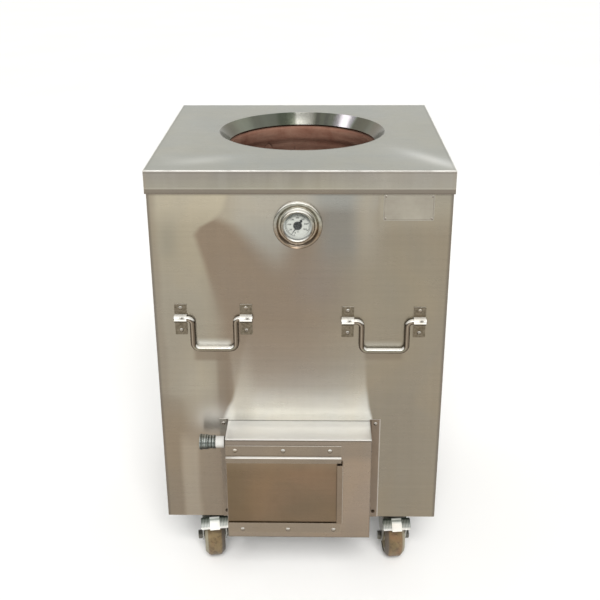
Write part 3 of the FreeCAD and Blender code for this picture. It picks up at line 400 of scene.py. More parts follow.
def paint_cover(g, base):
    """Deck and skirt: the deck is painted paler and cooler than the skirt, for the brighter light it reflects, with
    heat tint and polish marks round the mouth.
    """
    x, y, z = g.xyz()
    nx, ny, nz = g.nxyz()
    deck = (0.458, 0.452, 0.393)
    r = g.math("SQRT", g.add(g.math("POWER", x, 2.0), g.math("POWER", g.sub(y, POT_Y), 2.0)))
    col = deck
    # painted reflections: faint pale streaks near the front corners, one of them a bright painted highlight
    col = g.mix(g.mul(g.streak(0.0, -0.22, 0.0, 0.22, 0.05), 0.60), col, (0.425, 0.425, 0.380))
    col = g.mix(g.mul(g.streak(0.268, -0.186, 2.20, 0.085, 0.020), 0.92), col, (0.93, 0.91, 0.85))
    col = g.mix(g.mul(g.streak(0.235, -0.165, 2.25, 0.110, 0.050), 0.40), col, (0.62, 0.61, 0.555))
    col = g.mix(g.mul(g.streak(-0.198, -0.188, 0.30, 0.062, 0.026), 0.62), col, (0.72, 0.71, 0.65))
    col = g.mix(g.mul(g.streak(-0.262, -0.175, 2.45, 0.060, 0.020), 0.25), col, (0.62, 0.61, 0.55))
    col = g.mix(g.mul(g.streak(-0.262, 0.05, 1.60, 0.25, 0.03), 0.20), col, (0.56, 0.55, 0.50))
    tint = g.mul(g.rng(r, 0.187, 0.215, 1.0, 0.0, smooth=True), g.rng(g.noise(30, 3, 0.6), 0.35, 0.7))
    col = g.mix(g.mul(tint, 0.35), col, (0.41, 0.37, 0.30))
    rim = g.band(r, 0.1868, 0.1880, 0.0008)
    col = g.mix(g.mul(rim, 0.45), col, (0.34, 0.32, 0.28))
    # welded and ground corners of the skirt
    cx = g.rng(g.math("ABSOLUTE", x), 0.2925, 0.3035, smooth=True)
    wn = g.noise((40, 40, 60), 3, 0.6, (5, 5, 5))
    skirt = g.mix(g.rng(z, 0.905, 0.934, 1.0, 0.0), (0.276, 0.256, 0.226), (0.328, 0.312, 0.256))
    skirt = g.mix(g.mul(g.rng(x, 0.04, 0.17), 0.48), skirt, (0.405, 0.376, 0.328))
    skirt = g.mix(g.mul(g.rng(x, -0.22, -0.10, 1.0, 0.0), 0.20), skirt, (0.380, 0.350, 0.305))
    skirt = g.mix(g.mul(g.rng(g.noise((38, 38, 2.0), 3, 0.55, (2, 8, 8)), 0.40, 0.70), 0.22), skirt, (0.44, 0.42, 0.37))
    sk = g.mix(g.mul(cx, g.rng(wn, 0.35, 0.65, 0.1, 0.45)), skirt, (0.34, 0.29, 0.23))
    # painted hem: a painted highlight line, then painted shade below it
    sk = g.mix(g.mul(g.band(z, 0.9022, 0.9046, 0.0012), 0.40), sk, (0.46, 0.43, 0.36))
    sk = g.mix(g.mul(g.step(z, 0.9014, 0.0018, up=False), 0.95), sk, (0.226, 0.198, 0.162))
    sk = g.mix(g.mul(g.step(z, 0.8945, 0.0022, up=False), 0.55), sk, (0.150, 0.125, 0.100))
    # deck and skirt toned apart by the way they face: painted stand-ins for the light each reflects
    col = g.mix(g.rng(nz, 0.5, 0.75), sk, col)
    return col


def paint_side(g, base):
    """Sides and back: cool above, warmer and darker towards the floor, with one broad light patch each."""
    x, y, z = g.xyz()
    nx, ny, nz = g.nxyz()
    w = g.mul(g.sub(g.noise((5, 5, 3), 3, 0.5, (6, 1, 9)), 0.5), 0.10)
    col = g.mix(g.rng(g.add(z, w), 0.20, 0.86, smooth=True), (0.300, 0.252, 0.192), (0.385, 0.358, 0.304))
    u = g.mixf(g.rng(nx, 0.5, 0.8), x, g.sub(y, YS))
    col = g.mix(g.mul(g.blob(-0.10, 0.62, 0.16, 0.24, g.add(g.add(u, w), g.mul(z, -0.15)), z), 0.55), col, (0.46, 0.435, 0.372))
    col = g.mix(g.mul(g.blob(0.19, 0.42, 0.09, 0.20, g.add(u, w), z), 0.45), col, (0.248, 0.212, 0.164))
    # painted shade under the skirt
    col = g.mix(g.mul(g.rng(z, 0.8865, 0.8905, smooth=True), 0.45), col, (0.13, 0.115, 0.095))
    return col


def marks_cover(g):
    x, y, z = g.xyz()
    nx, ny, nz = g.nxyz()
    d = g.math("MINIMUM", g.sub(0.3048, g.math("ABSOLUTE", x)), g.sub(0.3048, g.math("ABSOLUTE", g.sub(y, YS))))
    flat = g.rng(nz, 0.5, 0.75)
    # painted highlight along the fold at the deck's edge, broken up by noise; painted shade lines just under the fold
    # and just inside it on the deck
    m = g.mixf(flat, g.rng(z, 0.9362, 0.9378, smooth=True), g.rng(d, 0.0010, 0.0028, 1.0, 0.0, smooth=True))
    wear_and_glint = g.rng(g.noise((22, 22, 22), 4, 0.6, (4, 4, 1)), 0.30, 0.60, 0.45, 0.80)
    under = g.mul(g.band(z, 0.9330, 0.9358, 0.0010), g.sub(1.0, flat))
    above = g.mul(g.band(d, 0.0032, 0.0068, 0.0016), flat)
    return g.mul(m, wear_and_glint), g.mul(g.add(g.mul(under, 0.18), g.mul(above, 0.14)), 1.0)


def marks_box(g):
    x, y, z = g.xyz()
    nx, ny, nz = g.nxyz()
    # painted highlights on the box top's front and left edges and on the flanges' outer edges; painted shade lines
    # under the front's top edge, at its side corners, along the flanges and at its foot
    up, fr = g.rng(nz, 0.5, 0.8), g.rng(ny, 0.5, 0.8)
    ax = g.math("ABSOLUTE", g.add(x, 0.0035))
    hi = g.mul(up, g.rng(y, BOX_Y + 0.0050, BOX_Y + 0.0075, 0.95, 0.58, smooth=True))
    hi = g.math("MAXIMUM", hi, g.mul(up, g.rng(x, -0.1540, -0.1490, 0.90, 0.0, smooth=True)))
    hi = g.mul(hi, g.rng(g.noise((20, 20, 20), 3, 0.55, (5, 5, 5)), 0.3, 0.6, 0.88, 1.0))
    # outer edges of the side flanges
    hi = g.math("MAXIMUM", hi, g.mul(fr, g.mul(g.rng(ax, 0.1738, 0.1750, 0.0, g.rng(x, -0.05, 0.05, 0.62, 0.35)), g.rng(y, BOX_Y + 0.05, BOX_Y + 0.06))))
    front = g.mul(fr, g.step(y, BOX_Y + 0.03, 0.01, up=False))
    lo = g.mul(front, g.mul(g.band(z, 0.3768, 0.3806, 0.0010), 0.50))
    lo = g.math("MAXIMUM", lo, g.mul(front, g.rng(ax, 0.1522, 0.1536, 0.0, 0.60, smooth=True)))
    lo = g.math("MAXIMUM", lo, g.mul(g.mul(fr, g.band(ax, 0.1548, 0.1572, 0.0012)), g.mul(g.rng(y, BOX_Y + 0.05, BOX_Y + 0.06), 0.7)))
    lo = g.math("MAXIMUM", lo, g.mul(front, g.mul(g.rng(z, 0.1345, 0.1360, 0.6, 0.0), 1.0)))
    return hi, lo


def marks_rail(g):
    x, y, z = g.xyz()
    nx, ny, nz = g.nxyz()
    # painted highlights along the upper rail's bead and top edge; a painted shade line just above the bead
    up = g.rng(nz, 0.5, 0.8)
    hi = g.mul(up, g.band(z, 0.3360, 0.3420, 0.0008))
    hi = g.math("MAXIMUM", hi, g.mul(g.rng(y, BOX_Y - 0.0050, BOX_Y - 0.0035, 1.0, 0.0), g.band(z, 0.3378, 0.3415, 0.0010)))
    hi = g.math("MAXIMUM", hi, g.mul(g.rng(z, 0.3655, 0.3664), 0.40))
    hi = g.mul(hi, g.rng(x, -0.156, -0.130, 0.50, 0.85))
    lo = g.mul(g.band(z, 0.3412, 0.3432, 0.0010), 0.45)
    return hi, lo


def marks_door(g):
    x, y, z = g.xyz()
    # painted highlight along the lip's right edge, painted shadow the lip casts along its left edge
    hi = g.rng(x, 0.0896, 0.0906, 0.0, 0.35)
    lo = g.mul(g.band(x, 0.0774, 0.0790, 0.0008), 0.35)
    return hi, lo


def paint_collar(g, base):
    """Polished cone: broad upright bands of tone painted all the way round, standing in for the room's reflections, the
    brightest band a painted highlight.
    """
    x, y, z = g.xyz()
    ang = g.mul(g.math("ARCTAN2", x, g.sub(y, POT_Y)), 57.2958)
    w = g.mul(g.sub(g.noise((9, 9, 14), 3, 0.5, (3, 3, 3)), 0.5), 5.0)
    a = g.add(ang, w)
    col = (0.285, 0.300, 0.245)
    col = g.mix(g.mul(g.step(g.math("ABSOLUTE", a), 62.0, 24.0), 0.8), col, (0.150, 0.135, 0.105))
    col = g.mix(g.mul(g.band(a, -44.0, -34.0, 7.0), 0.55), col, (0.20, 0.20, 0.165))
    col = g.mix(g.mul(g.band(a, -21.0, -8.0, 5.0), 0.85), col, (0.165, 0.190, 0.140))
    col = g.mix(g.mul(g.band(a, -6.0, 9.0, 3.0, 5.0), 0.90), col, (0.70, 0.70, 0.64))
    col = g.mix(g.mul(g.band(a, 11.0, 14.0, 2.0), 0.6), col, (0.200, 0.200, 0.180))
    col = g.mix(g.mul(g.band(a, 18.0, 21.0, 2.0), 0.5), col, (0.200, 0.195, 0.180))
    col = g.mix(g.mul(g.band(a, 26.0, 43.0, 4.0, 2.5), 0.90), col, (0.430, 0.402, 0.412))
    col = g.mix(g.mul(g.band(a, 44.5, 62.0, 2.5, 8.0), 0.85), col, (0.165, 0.155, 0.120))
    col = g.mix(g.mul(g.band(a, 66.0, 84.0, 10.0), 0.4), col, (0.270, 0.225, 0.180))
    return col


def paint_rail(g, base):
    x, y, z = g.xyz()
    c = g.noise((9, 9, 9), 3, 0.5, (6, 1, 3))
    col = g.mix(g.rng(c, 0.3, 0.7), (0.236, 0.192, 0.145), (0.268, 0.219, 0.166))
    return g.mix(g.mul(g.rng(z, 0.22, 0.26, 1.0, 0.0), 0.55), col, (0.300, 0.244, 0.180))


def paint_box(g, base):
    x, y, z = g.xyz()
    nx, ny, nz = g.nxyz()
    col = g.mix(g.rng(x, -0.15, 0.15, smooth=True), (0.315, 0.260, 0.205), (0.312, 0.247, 0.188))
    col = g.mix(g.mul(g.rng(z, 0.14, 0.20, 1.0, 0.0, smooth=True), 0.40), col, (0.262, 0.212, 0.156))
    flange = g.mul(g.rng(ny, 0.5, 0.8), g.rng(y, BOX_Y + 0.05, BOX_Y + 0.06))
    col = g.mix(flange, col, g.mix(g.rng(x, -0.05, 0.05), g.mix(g.rng(z, 0.335, 0.365, smooth=True), (0.292, 0.240, 0.186), (0.430, 0.400, 0.335)), (0.298, 0.236, 0.180)))
    col = g.mix(g.mul(g.rng(z, 0.325, 0.345), g.sub(1.0, flange)), col, (0.262, 0.216, 0.170))
    # painted highlight: the box top gets a far paler tone than its front, for the light it reflects
    topc = g.mix(g.rng(g.noise((12, 12, 12), 3, 0.55, (1, 7, 2)), 0.35, 0.7), (0.82, 0.825, 0.82), (0.745, 0.735, 0.71))
    col = g.mix(g.rng(nz, 0.5, 0.8), col, topc)
    return col


def paint_door(g, base):
    x, y, z = g.xyz()
    c = g.noise((7, 7, 9), 3, 0.5, (1, 2, 3), dist=0.5)
    col = g.mix(g.rng(c, 0.3, 0.7), (0.200, 0.145, 0.092), (0.232, 0.156, 0.098))
    col = g.mix(g.mul(g.blob(0.02, 0.215, 0.045, 0.030), 0.45), col, (0.160, 0.125, 0.082))
    col = g.mix(g.mul(g.rng(x, -0.150, -0.060, 1.0, 0.0, smooth=True), 0.75), col, (0.160, 0.120, 0.074))
    col = g.mix(g.mul(g.rng(z, 0.300, 0.328, 0.0, 1.0, smooth=True), 0.45), col, (0.255, 0.195, 0.130))
    col = g.mix(g.rng(x, 0.0775, 0.0795), col, (0.246, 0.188, 0.134))
    return col


# ----------------------------------------------------------------------------------------------------------------------
# other finishes
# ----------------------------------------------------------------------------------------------------------------------
def plated(name, base, rough=0.2, speck=0.12, dirt=0.25, edge=0.4, bevel=0.0005, scale=1.0, shade=None):
    """Zinc, nickel or polished bar: slight orange peel, specks, soiled hollows, painted highlights on corners."""
    g = Mat(name)
    n1 = g.noise(55 * scale, 4, 0.6, (1, 2, 3))
    n2 = g.noise(420 * scale, 3, 0.6, (4, 2, 1))
    n3 = g.noise(12 * scale, 3, 0.55, (7, 7, 2), dist=0.8)
    spot = g.rng(g.voronoi(160 * scale, off=(3, 1, 2)), 0.05, 0.18, 1.0, 0.0)
    e = g.edge(bevel * 2.2)
    v = g.add(1.0, g.mul(g.sub(n1, 0.5), 0.22))
    v = g.add(v, g.mul(g.sub(n2, 0.5), 0.10))
    v = g.sub(v, g.mul(g.mul(spot, g.rng(n3, 0.45, 0.65)), speck))
    # painted highlight: the colour is raised on corners and edges
    v = g.mul(v, g.add(1.0, g.mul(e, edge)))
    met = 1.0
    c = base
    # shade paints light and shade by the way faces point; hi turns to a near-white painted highlight
    if shade:
        c, hi = shade(g, c)
        if hi is not None:
            met = g.mixf(hi, 1.0, 0.45)
            c = g.mix(hi, c, (0.94, 0.925, 0.87))
    c = g.mix(g.mul(g.rng(n3, 0.5, 0.75), dirt), c, g.mix(1.0, c, (1.02, 0.86, 0.66), "MULTIPLY"))
    n = g.new("ShaderNodeVectorMath", operation="SCALE")
    g.put(n.inputs[0], c)
    g.put(n.inputs["Scale"], v)
    r = g.add(rough, g.mul(g.sub(n1, 0.5), 0.18))
    r = g.add(r, g.mul(g.rng(n3, 0.5, 0.75), dirt * 0.35))
    nrm = g.bevel(bevel)
    nrm = g.bump(g.add(g.mul(n2, 0.5), n1), 0.10, 0.0004, nrm)
    g.set(base=n.outputs[0], metal=met, rough=g.clamp(r), normal=nrm)
    return g.m


def shade_bar(g, c):
    """Polished round bar, painted by facing: a painted highlight above, brown flanks with a pale line between, painted
    shade underneath with a paler painted reflection at the very bottom.
    """
    nx, ny, nz = g.sn()
    c = (0.165, 0.130, 0.095)
    c = g.mix(g.mul(g.blob(-0.12, 0.0, 0.13, 9.0, nx, nz), 0.75), c, (0.42, 0.355, 0.280))
    c = g.mix(g.rng(g.math("ABSOLUTE", nx), 0.38, 0.75, smooth=True), c, (0.075, 0.058, 0.042))
    c = g.mix(g.rng(nz, -0.70, -0.30, 1.0, 0.0, smooth=True), c, (0.105, 0.085, 0.062))
    c = g.mix(g.rng(nz, -0.96, -0.86, 0.7, 0.0, smooth=True), c, (0.36, 0.30, 0.24))
    x, y, z = g.xyz()
    grip = g.step(z, g.mixf(g.step(x, 0.0, 0.01), 0.5638, 0.5606), 0.002, up=False)
    c = g.mix(g.mul(grip, g.band(nz, -0.10, 0.22, 0.16)), c, (0.230, 0.220, 0.160))
    return c, g.rng(nz, 0.24, 0.52, 0.0, 0.92, smooth=True)


def shade_saddle(g, c):
    """Pressed strap: dark mottled feet with painted highlights on their top edges, a painted highlight over the arch
    and painted shade under it.
    """
    x, y, z = g.xyz()
    nx, ny, nz = g.sn()
    arch = g.step(y, F - 0.0034, 0.0012, up=False)
    t = g.noise(210.0, 4, 0.65, (3, 3, 5))
    c = g.mix(g.rng(t, 0.35, 0.65), (0.118, 0.098, 0.068), (0.215, 0.182, 0.135))
    hi = g.mul(arch, g.rng(nz, -0.45, -0.10, 0.0, 0.96, smooth=True))
    slot = 0.0
    for sx, sz in ((-0.2465, 0.6255), (-0.1115, 0.6255), (0.0985, 0.6205), (0.2465, 0.6205)):
        slot = g.math("MAXIMUM", slot, g.blob(sx + 0.0034, sz + 0.0035, 0.0050, 0.0021))
    hi = g.mul(hi, g.sub(1.0, g.mul(slot, 0.95)))
    c = g.mix(slot, c, (0.060, 0.048, 0.036))
    # painted shade on the underside of the arch
    c = g.mix(g.mul(arch, g.rng(nz, -0.80, -0.45, 1.0, 0.0, smooth=True)), c, (0.075, 0.060, 0.045))
    return c, g.math("MAXIMUM", hi, g.mul(g.rng(nz, 0.6, 0.85), 0.75))


def shade_gauge(g, c):
    """Chromed dished ring with painted reflections: a painted highlight along the top of each bead, grey-green above,
    brown below, painted shade on faces that look down.
    """
    x, y, z = g.xyz()
    nx, ny, nz = g.sn()
    dz = g.sub(z, GZ)
    c = g.mix(g.rng(g.add(dz, g.mul(g.sub(g.noise(60.0, 3, 0.5), 0.5), 0.02)), -0.018, 0.016, smooth=True), (0.275, 0.215, 0.155), (0.400, 0.400, 0.340))
    c = g.mix(g.mul(g.blob(GX - 0.036, GZ + 0.012, 0.010, 0.022), 0.45), c, (0.19, 0.165, 0.160))
    rr = g.math("SQRT", g.add(g.math("POWER", g.sub(x, GX), 2.0), g.math("POWER", dz, 2.0)))
    c = g.mix(g.mul(g.band(rr, 0.0322, 0.0400, 0.003), 0.85), c, g.mix(g.rng(dz, -0.01, 0.015), (0.350, 0.280, 0.205), (0.450, 0.440, 0.365)))
    mot = g.rng(g.noise(120.0, 4, 0.65, (7, 1, 2), dist=0.8), 0.40, 0.62)
    c = g.mix(g.mul(mot, 0.35), c, (0.100, 0.085, 0.062))
    c = g.mix(g.rng(nz, -0.62, -0.25, 0.85, 0.0, smooth=True), c, (0.105, 0.075, 0.050))
    # painted highlight, pinkish, on the lowest bead
    c = g.mix(g.blob(GX - 0.005, GZ - 0.0462, 0.0090, 0.0022), c, (0.95, 0.74, 0.56))
    side = g.rng(g.math("ABSOLUTE", nx), 0.45, 0.80, 1.0, 0.35)
    dx = g.sub(x, GX)
    r = g.math("SQRT", g.add(g.mul(dx, dx), g.mul(dz, dz)))
    dish = g.mul(g.band(r, 0.0318, 0.0432, 0.0012), g.step(dz, 0.0, 0.012, up=False))
    return c, g.mul(g.mul(g.rng(nz, 0.20, 0.50, 0.0, 0.95, smooth=True), side), g.sub(1.0, g.mul(dish, 0.92)))


def shade_head(g, c):
    """Screw and rivet heads: painted highlight on top, painted shade under them."""
    x, y, z = g.xyz()
    nx, ny, nz = g.sn()
    c = g.mix(g.rng(nz, -0.45, -0.08, 1.0, 0.0, smooth=True), (0.27, 0.23, 0.18), (0.075, 0.058, 0.042))
    # the lowest pair on the box is darker, with no highlight
    low = g.mul(g.step(z, 0.190, 0.01, up=False), g.mul(g.step(g.math("ABSOLUTE", x), 0.158, 0.002), g.step(y, F - 0.008, 0.002)))
    c = g.mix(g.mul(low, 0.9), c, (0.060, 0.040, 0.025))
    return c, g.mul(g.rng(nz, 0.20, 0.52, 0.0, 0.80, smooth=True), g.sub(1.0, low))


def shade_fitting(g, c):
    """Zinc plated coupling: turned rings, lit above, dark below."""
    x, y, z = g.xyz()
    nx, ny, nz = g.sn()
    ring = g.math("SINE", g.add(g.mul(x, 1142.0), g.mul(g.noise((80, 8, 8), 2, 0.5), 2.0)), 0.0)
    c = g.mix(g.rng(ring, -0.6, 0.7, smooth=True), (0.130, 0.145, 0.135), (0.300, 0.330, 0.310))
    c = g.mix(g.mul(g.rng(g.noise(45.0, 3, 0.55, (2, 2, 6)), 0.40, 0.65), 0.6), c, (0.255, 0.280, 0.255))
    c = g.mix(g.mul(g.band(x, -0.2110, -0.2030, 0.002), 0.6), c, (0.33, 0.355, 0.33))
    c = g.mix(g.rng(nz, -0.48, 0.22, 0.92, 0.0, smooth=True), c, (0.040, 0.036, 0.028))
    return c, g.mul(g.rng(nz, 0.30, 0.75, 0.0, 0.38, smooth=True), g.rng(ring, -0.2, 0.8))


def pedal_mat(name, cx, yaw):
    """Bright zinc tread: smooth centre pad with a painted highlight, ribs each side, painted shade towards the top,
    paler low down.
    """
    def shade(g, c):
        x, y, z = g.xyz()
        cy = -0.222 + YS
        a = math.radians(yaw)
        dx, dy = g.sub(x, cx), g.sub(y, cy)
        lx = g.add(g.mul(dx, math.cos(a)), g.mul(dy, math.sin(a)))
        ly = g.add(g.mul(dx, -math.sin(a)), g.mul(dy, math.cos(a)))
        ax = g.math("ABSOLUTE", lx)
        ty, tz = g.add(ly, 0.074), g.sub(z, 0.123)
        d = g.mul(g.add(g.mul(ty, 0.7425), g.mul(tz, 0.670)), -1.0)
        q = g.add(g.mul(ty, -0.670), g.mul(tz, 0.7425))
        face = g.step(q, -0.0010, 0.0008)
        rib = g.rng(g.math("COSINE", g.mul(g.sub(ax, 0.0144), 2 * math.pi / 0.0035), 0.0), -0.3, 0.7)
        low = g.rng(d, 0.009, 0.019, smooth=True)
        tone = g.mix(rib, g.mix(low, (0.105, 0.120, 0.100), (0.50, 0.535, 0.50)), g.mix(low, (0.36, 0.39, 0.35), (0.86, 0.88, 0.84)))
        # painted shade across the top of the tread, painted highlight along its bottom edge
        tone = g.mix(g.rng(d, 0.0015, 0.0085, 1.0, 0.0, smooth=True), tone, (0.040, 0.048, 0.038))
        tone = g.mix(g.mul(g.rng(d, 0.0215, 0.0245, smooth=True), 0.85), tone, (0.88, 0.88, 0.84))
        pad = g.step(ax, 0.0112, 0.0008, up=False)
        tone = g.mix(g.mul(pad, 0.90), tone, g.mix(g.band(d, 0.004, 0.0085, 0.002), (0.86, 0.90, 0.86), (0.30, 0.34, 0.31)))
        c = g.mix(face, (0.22, 0.22, 0.20), tone)
        hi = g.mul(face, g.mul(pad, g.rng(d, 0.009, 0.014, 0.15, 0.9, smooth=True)))
        hi = g.math("MAXIMUM", hi, g.mul(face, g.mul(g.rng(d, 0.0215, 0.0245), 0.5)))
        return c, hi
    return plated(name, (0.42, 0.425, 0.40), rough=0.30, speck=0.15, dirt=0.35, edge=0.4, bevel=0.0004, shade=shade)


def clay_mat():
    g = Mat("fired_clay_sooted")
    x, y, z = g.xyz()
    n1 = g.noise(26, 5, 0.62, (1, 1, 4), dist=0.5)
    n2 = g.noise((9, 9, 60), 4, 0.6, (6, 2, 1))
    n3 = g.noise(240, 4, 0.65, (2, 6, 1))
    pit = g.rng(g.voronoi(190, off=(1, 5, 2)), 0.06, 0.22, 1.0, 0.0)
    crack = g.rng(g.voronoi((14, 14, 10), "DISTANCE_TO_EDGE", (0, 3, 1)), 0.0, 0.018, 1.0, 0.0)
    crack = g.mul(crack, g.rng(g.noise(7, 3, 0.6, (9, 9, 9)), 0.52, 0.6))
    c = g.mix(g.rng(n1, 0.3, 0.7), (0.235, 0.105, 0.070), (0.335, 0.185, 0.130))
    c = g.mix(g.mul(g.rng(n2, 0.45, 0.75), 0.5), c, (0.42, 0.27, 0.20))
    soot = g.mul(g.rng(z, 0.45, 0.90, 0.85, 0.25), g.rng(g.noise(5, 4, 0.6, (3, 3, 8)), 0.3, 0.7, 0.35, 1.0))
    c = g.mix(soot, c, (0.055, 0.038, 0.032))
    c = g.mix(g.mul(pit, 0.55), c, (0.09, 0.05, 0.035))
    c = g.mix(g.mul(crack, 0.8), c, (0.03, 0.02, 0.015))
    c = g.mix(g.mul(g.rng(n3, 0.6, 0.8), 0.25), c, (0.50, 0.38, 0.30))
    h = g.add(g.mul(n1, 0.5), g.add(g.mul(n2, 0.6), g.mul(n3, 0.25)))
    h = g.sub(h, g.add(g.mul(pit, 0.5), g.mul(crack, 0.9)))
    g.set(base=c, metal=0.0, rough=g.rng(n1, 0.3, 0.7, 0.82, 0.95), normal=g.bump(h, 0.7, 0.0022), spec=0.25)
    return g.m


def wool_mat():
    g = Mat("mineral_wool")
    n1 = g.noise((220, 220, 60), 6, 0.7, (1, 0, 2), dist=1.5)
    n2 = g.noise(14, 4, 0.6, (5, 0, 2))
    c = g.mix(g.rng(n1, 0.3, 0.7), (0.55, 0.50, 0.36), (0.80, 0.76, 0.62))
    c = g.mix(g.mul(g.rng(n2, 0.5, 0.8), 0.4), c, (0.55, 0.44, 0.28))
    g.set(base=c, rough=0.95, normal=g.bump(n1, 0.9, 0.0025), sheen=0.3)
    return g.m


def iron_mat():
    g = Mat("burner_cast_iron")
    n1 = g.noise(300, 5, 0.7, (1, 2, 2))
    n2 = g.noise(24, 4, 0.6, (4, 1, 2), dist=0.5)
    c = g.mix(g.rng(n1, 0.3, 0.7), (0.045, 0.042, 0.040), (0.10, 0.092, 0.085))
    c = g.mix(g.mul(g.rng(n2, 0.55, 0.72), 0.7), c, (0.17, 0.075, 0.035))
    g.set(base=c, metal=0.55, rough=g.rng(n2, 0.3, 0.7, 0.62, 0.85), normal=g.bump(n1, 0.6, 0.0008, g.bevel(0.0010)))
    return g.m


def heat_mat():
    g = Mat("heat_blued_steel")
    x, y, z = g.xyz()
    n1 = g.noise(40, 5, 0.6, (1, 2, 2), dist=0.6)
    n2 = g.noise(400, 3, 0.6, (4, 1, 2))
    c = g.mix(g.rng(n1, 0.3, 0.55), (0.13, 0.11, 0.14), (0.24, 0.16, 0.10))
    c = g.mix(g.rng(n1, 0.55, 0.8), c, (0.10, 0.12, 0.19))
    c = g.mix(g.mul(g.rng(n2, 0.5, 0.7), 0.5), c, (0.06, 0.05, 0.05))
    g.set(base=c, metal=0.85, rough=g.rng(n2, 0.3, 0.7, 0.45, 0.7), normal=g.bump(n2, 0.3, 0.0006, g.bevel(0.0010)))
    return g.m


def brass_mat(name, base, dark=(0.33, 0.22, 0.09)):
    g = Mat(name)
    n1 = g.noise(60, 5, 0.62, (1, 2, 7), dist=0.5)
    n2 = g.noise(600, 3, 0.6, (4, 1, 2))
    e = g.edge(0.0014)
    c = g.mix(g.rng(n1, 0.42, 0.72), base, dark)
    c = g.mix(g.mul(e, 0.6), c, hexmix(base, 1.25))
    g.set(base=c, metal=1.0, rough=g.add(g.rng(n1, 0.3, 0.7, 0.25, 0.42), g.mul(g.sub(n2, 0.5), 0.1)),
          normal=g.bump(n2, 0.15, 0.0004, g.bevel(0.0006)))
    return g.m


def plastic_mat(name, base, rough=0.4, texture=700, strength=0.25, wear_and_glint=(0.2, 0.2, 0.2)):
    g = Mat(name)
    n1 = g.noise(texture, 3, 0.6, (1, 2, 7))
    n2 = g.noise(30, 4, 0.6, (3, 2, 7))
    e = g.edge(0.0012)
    c = g.mix(g.rng(n2, 0.3, 0.7, 0.0, 0.25), base, hexmix(base, 1.8))
    c = g.mix(g.mul(e, 0.5), c, wear_and_glint)
    g.set(base=c, metal=0.0, rough=g.add(rough, g.mul(g.sub(n2, 0.5), 0.2)), normal=g.bump(n1, strength, 0.0003, g.bevel(0.0006)))
    return g.m


def tyre_mat(name, cx, cy, yaw, out):
    """Hard resin tread, scuffed and stained; out is the side that looks away from the body, which is painted lighter.
    """
    g = Mat(name)
    x, y, z = g.xyz()
    ca, sa = math.cos(math.radians(yaw)), math.sin(math.radians(yaw))
    lx = g.mul(g.add(g.mul(g.sub(x, cx), ca), g.mul(g.sub(y, cy), sa)), out)
    n1 = g.noise(30, 5, 0.65, (1, 2, 7), dist=0.7)
    n2 = g.noise(260, 4, 0.7, (5, 2, 7))
    n3 = g.noise((90, 90, 90), 4, 0.6, (8, 0, 3), dist=1.0)
    c = g.mix(g.rng(n1, 0.3, 0.7), (0.125, 0.090, 0.042), (0.215, 0.155, 0.080))
    c = g.mix(g.mul(g.rng(n3, 0.48, 0.66), 0.70), c, (0.062, 0.036, 0.022))
    c = g.mix(g.mul(g.rng(g.noise(22, 4, 0.6, (2, 9, 4), dist=0.8), 0.50, 0.66), 0.50), c, (0.195, 0.100, 0.055))
    c = g.mix(g.mul(g.rng(n2, 0.58, 0.78), 0.45), c, (0.33, 0.26, 0.18))
    # painted light on the outer side; painted shade on the inner side and near the floor
    c = g.mix(g.mul(g.step(lx, 0.0166, 0.003), 0.70), c, (0.300, 0.285, 0.215))
    c = g.mix(g.mul(g.step(lx, -0.0150, 0.004, up=False), 0.85), c, (0.072, 0.062, 0.052))
    low = g.rng(z, 0.002, 0.014, 1.0, 0.0, smooth=True)
    c = g.mix(g.mul(low, 0.65), c, (0.055, 0.042, 0.030))
    g.set(base=c, metal=0.0, rough=g.rng(n1, 0.3, 0.7, 0.34, 0.58), normal=g.bump(g.add(n2, g.mul(n3, 0.6)), 0.35, 0.0007, g.bevel(0.0008)),
          spec=0.35)
    return g.m


def core_mat():
    g = Mat("caster_core_nylon")
    n1 = g.noise(36, 4, 0.6, (1, 2, 7))
    n2 = g.noise(400, 3, 0.6, (5, 2, 7))
    c = g.mix(g.rng(n1, 0.3, 0.7), (0.26, 0.215, 0.140), (0.345, 0.295, 0.205))
    c = g.mix(g.mul(g.rng(n1, 0.55, 0.8), 0.4), c, (0.12, 0.09, 0.06))
    g.set(base=c, rough=g.rng(n2, 0.3, 0.7, 0.36, 0.5), normal=g.bump(n2, 0.2, 0.0004, g.bevel(0.0008)))
    return g.m


def nipple_mat():
    """Plated nipple whose thread next to the box is wound with white sealing tape."""
    g = Mat("gas_nipple_taped")
    x, y, z = g.xyz()
    tape = g.band(x, -0.1812, -0.1628, 0.0008)
    n1 = g.noise(60, 4, 0.6, (2, 2, 2))
    w = g.new("ShaderNodeTexWave", wave_type="BANDS", bands_direction="X")
    g.put(w.inputs["Vector"], g.map((1, 0.05, 0.08)))
    w.inputs["Scale"].default_value = 190.0
    w.inputs["Distortion"].default_value = 2.0
    w.inputs["Detail"].default_value = 2.0
    white = g.mix(g.rng(n1, 0.35, 0.75, 0.0, 0.5), (0.58, 0.575, 0.55), (0.48, 0.465, 0.43))
    nx, ny, nz = g.sn()
    # painted shade on the underside of the tape
    white = g.mix(g.rng(nz, -0.75, 0.10, 0.75, 0.0, smooth=True), white, (0.36, 0.33, 0.28))
    c = g.mix(tape, (0.115, 0.095, 0.075), white)
    h = g.add(g.mul(w.outputs["Fac"], 0.6), n1)
    g.set(base=c, metal=g.sub(1.0, tape), rough=g.mixf(tape, 0.22, 0.42), normal=g.bump(h, 0.35, 0.0006, g.bevel(0.0005)))
    return g.m


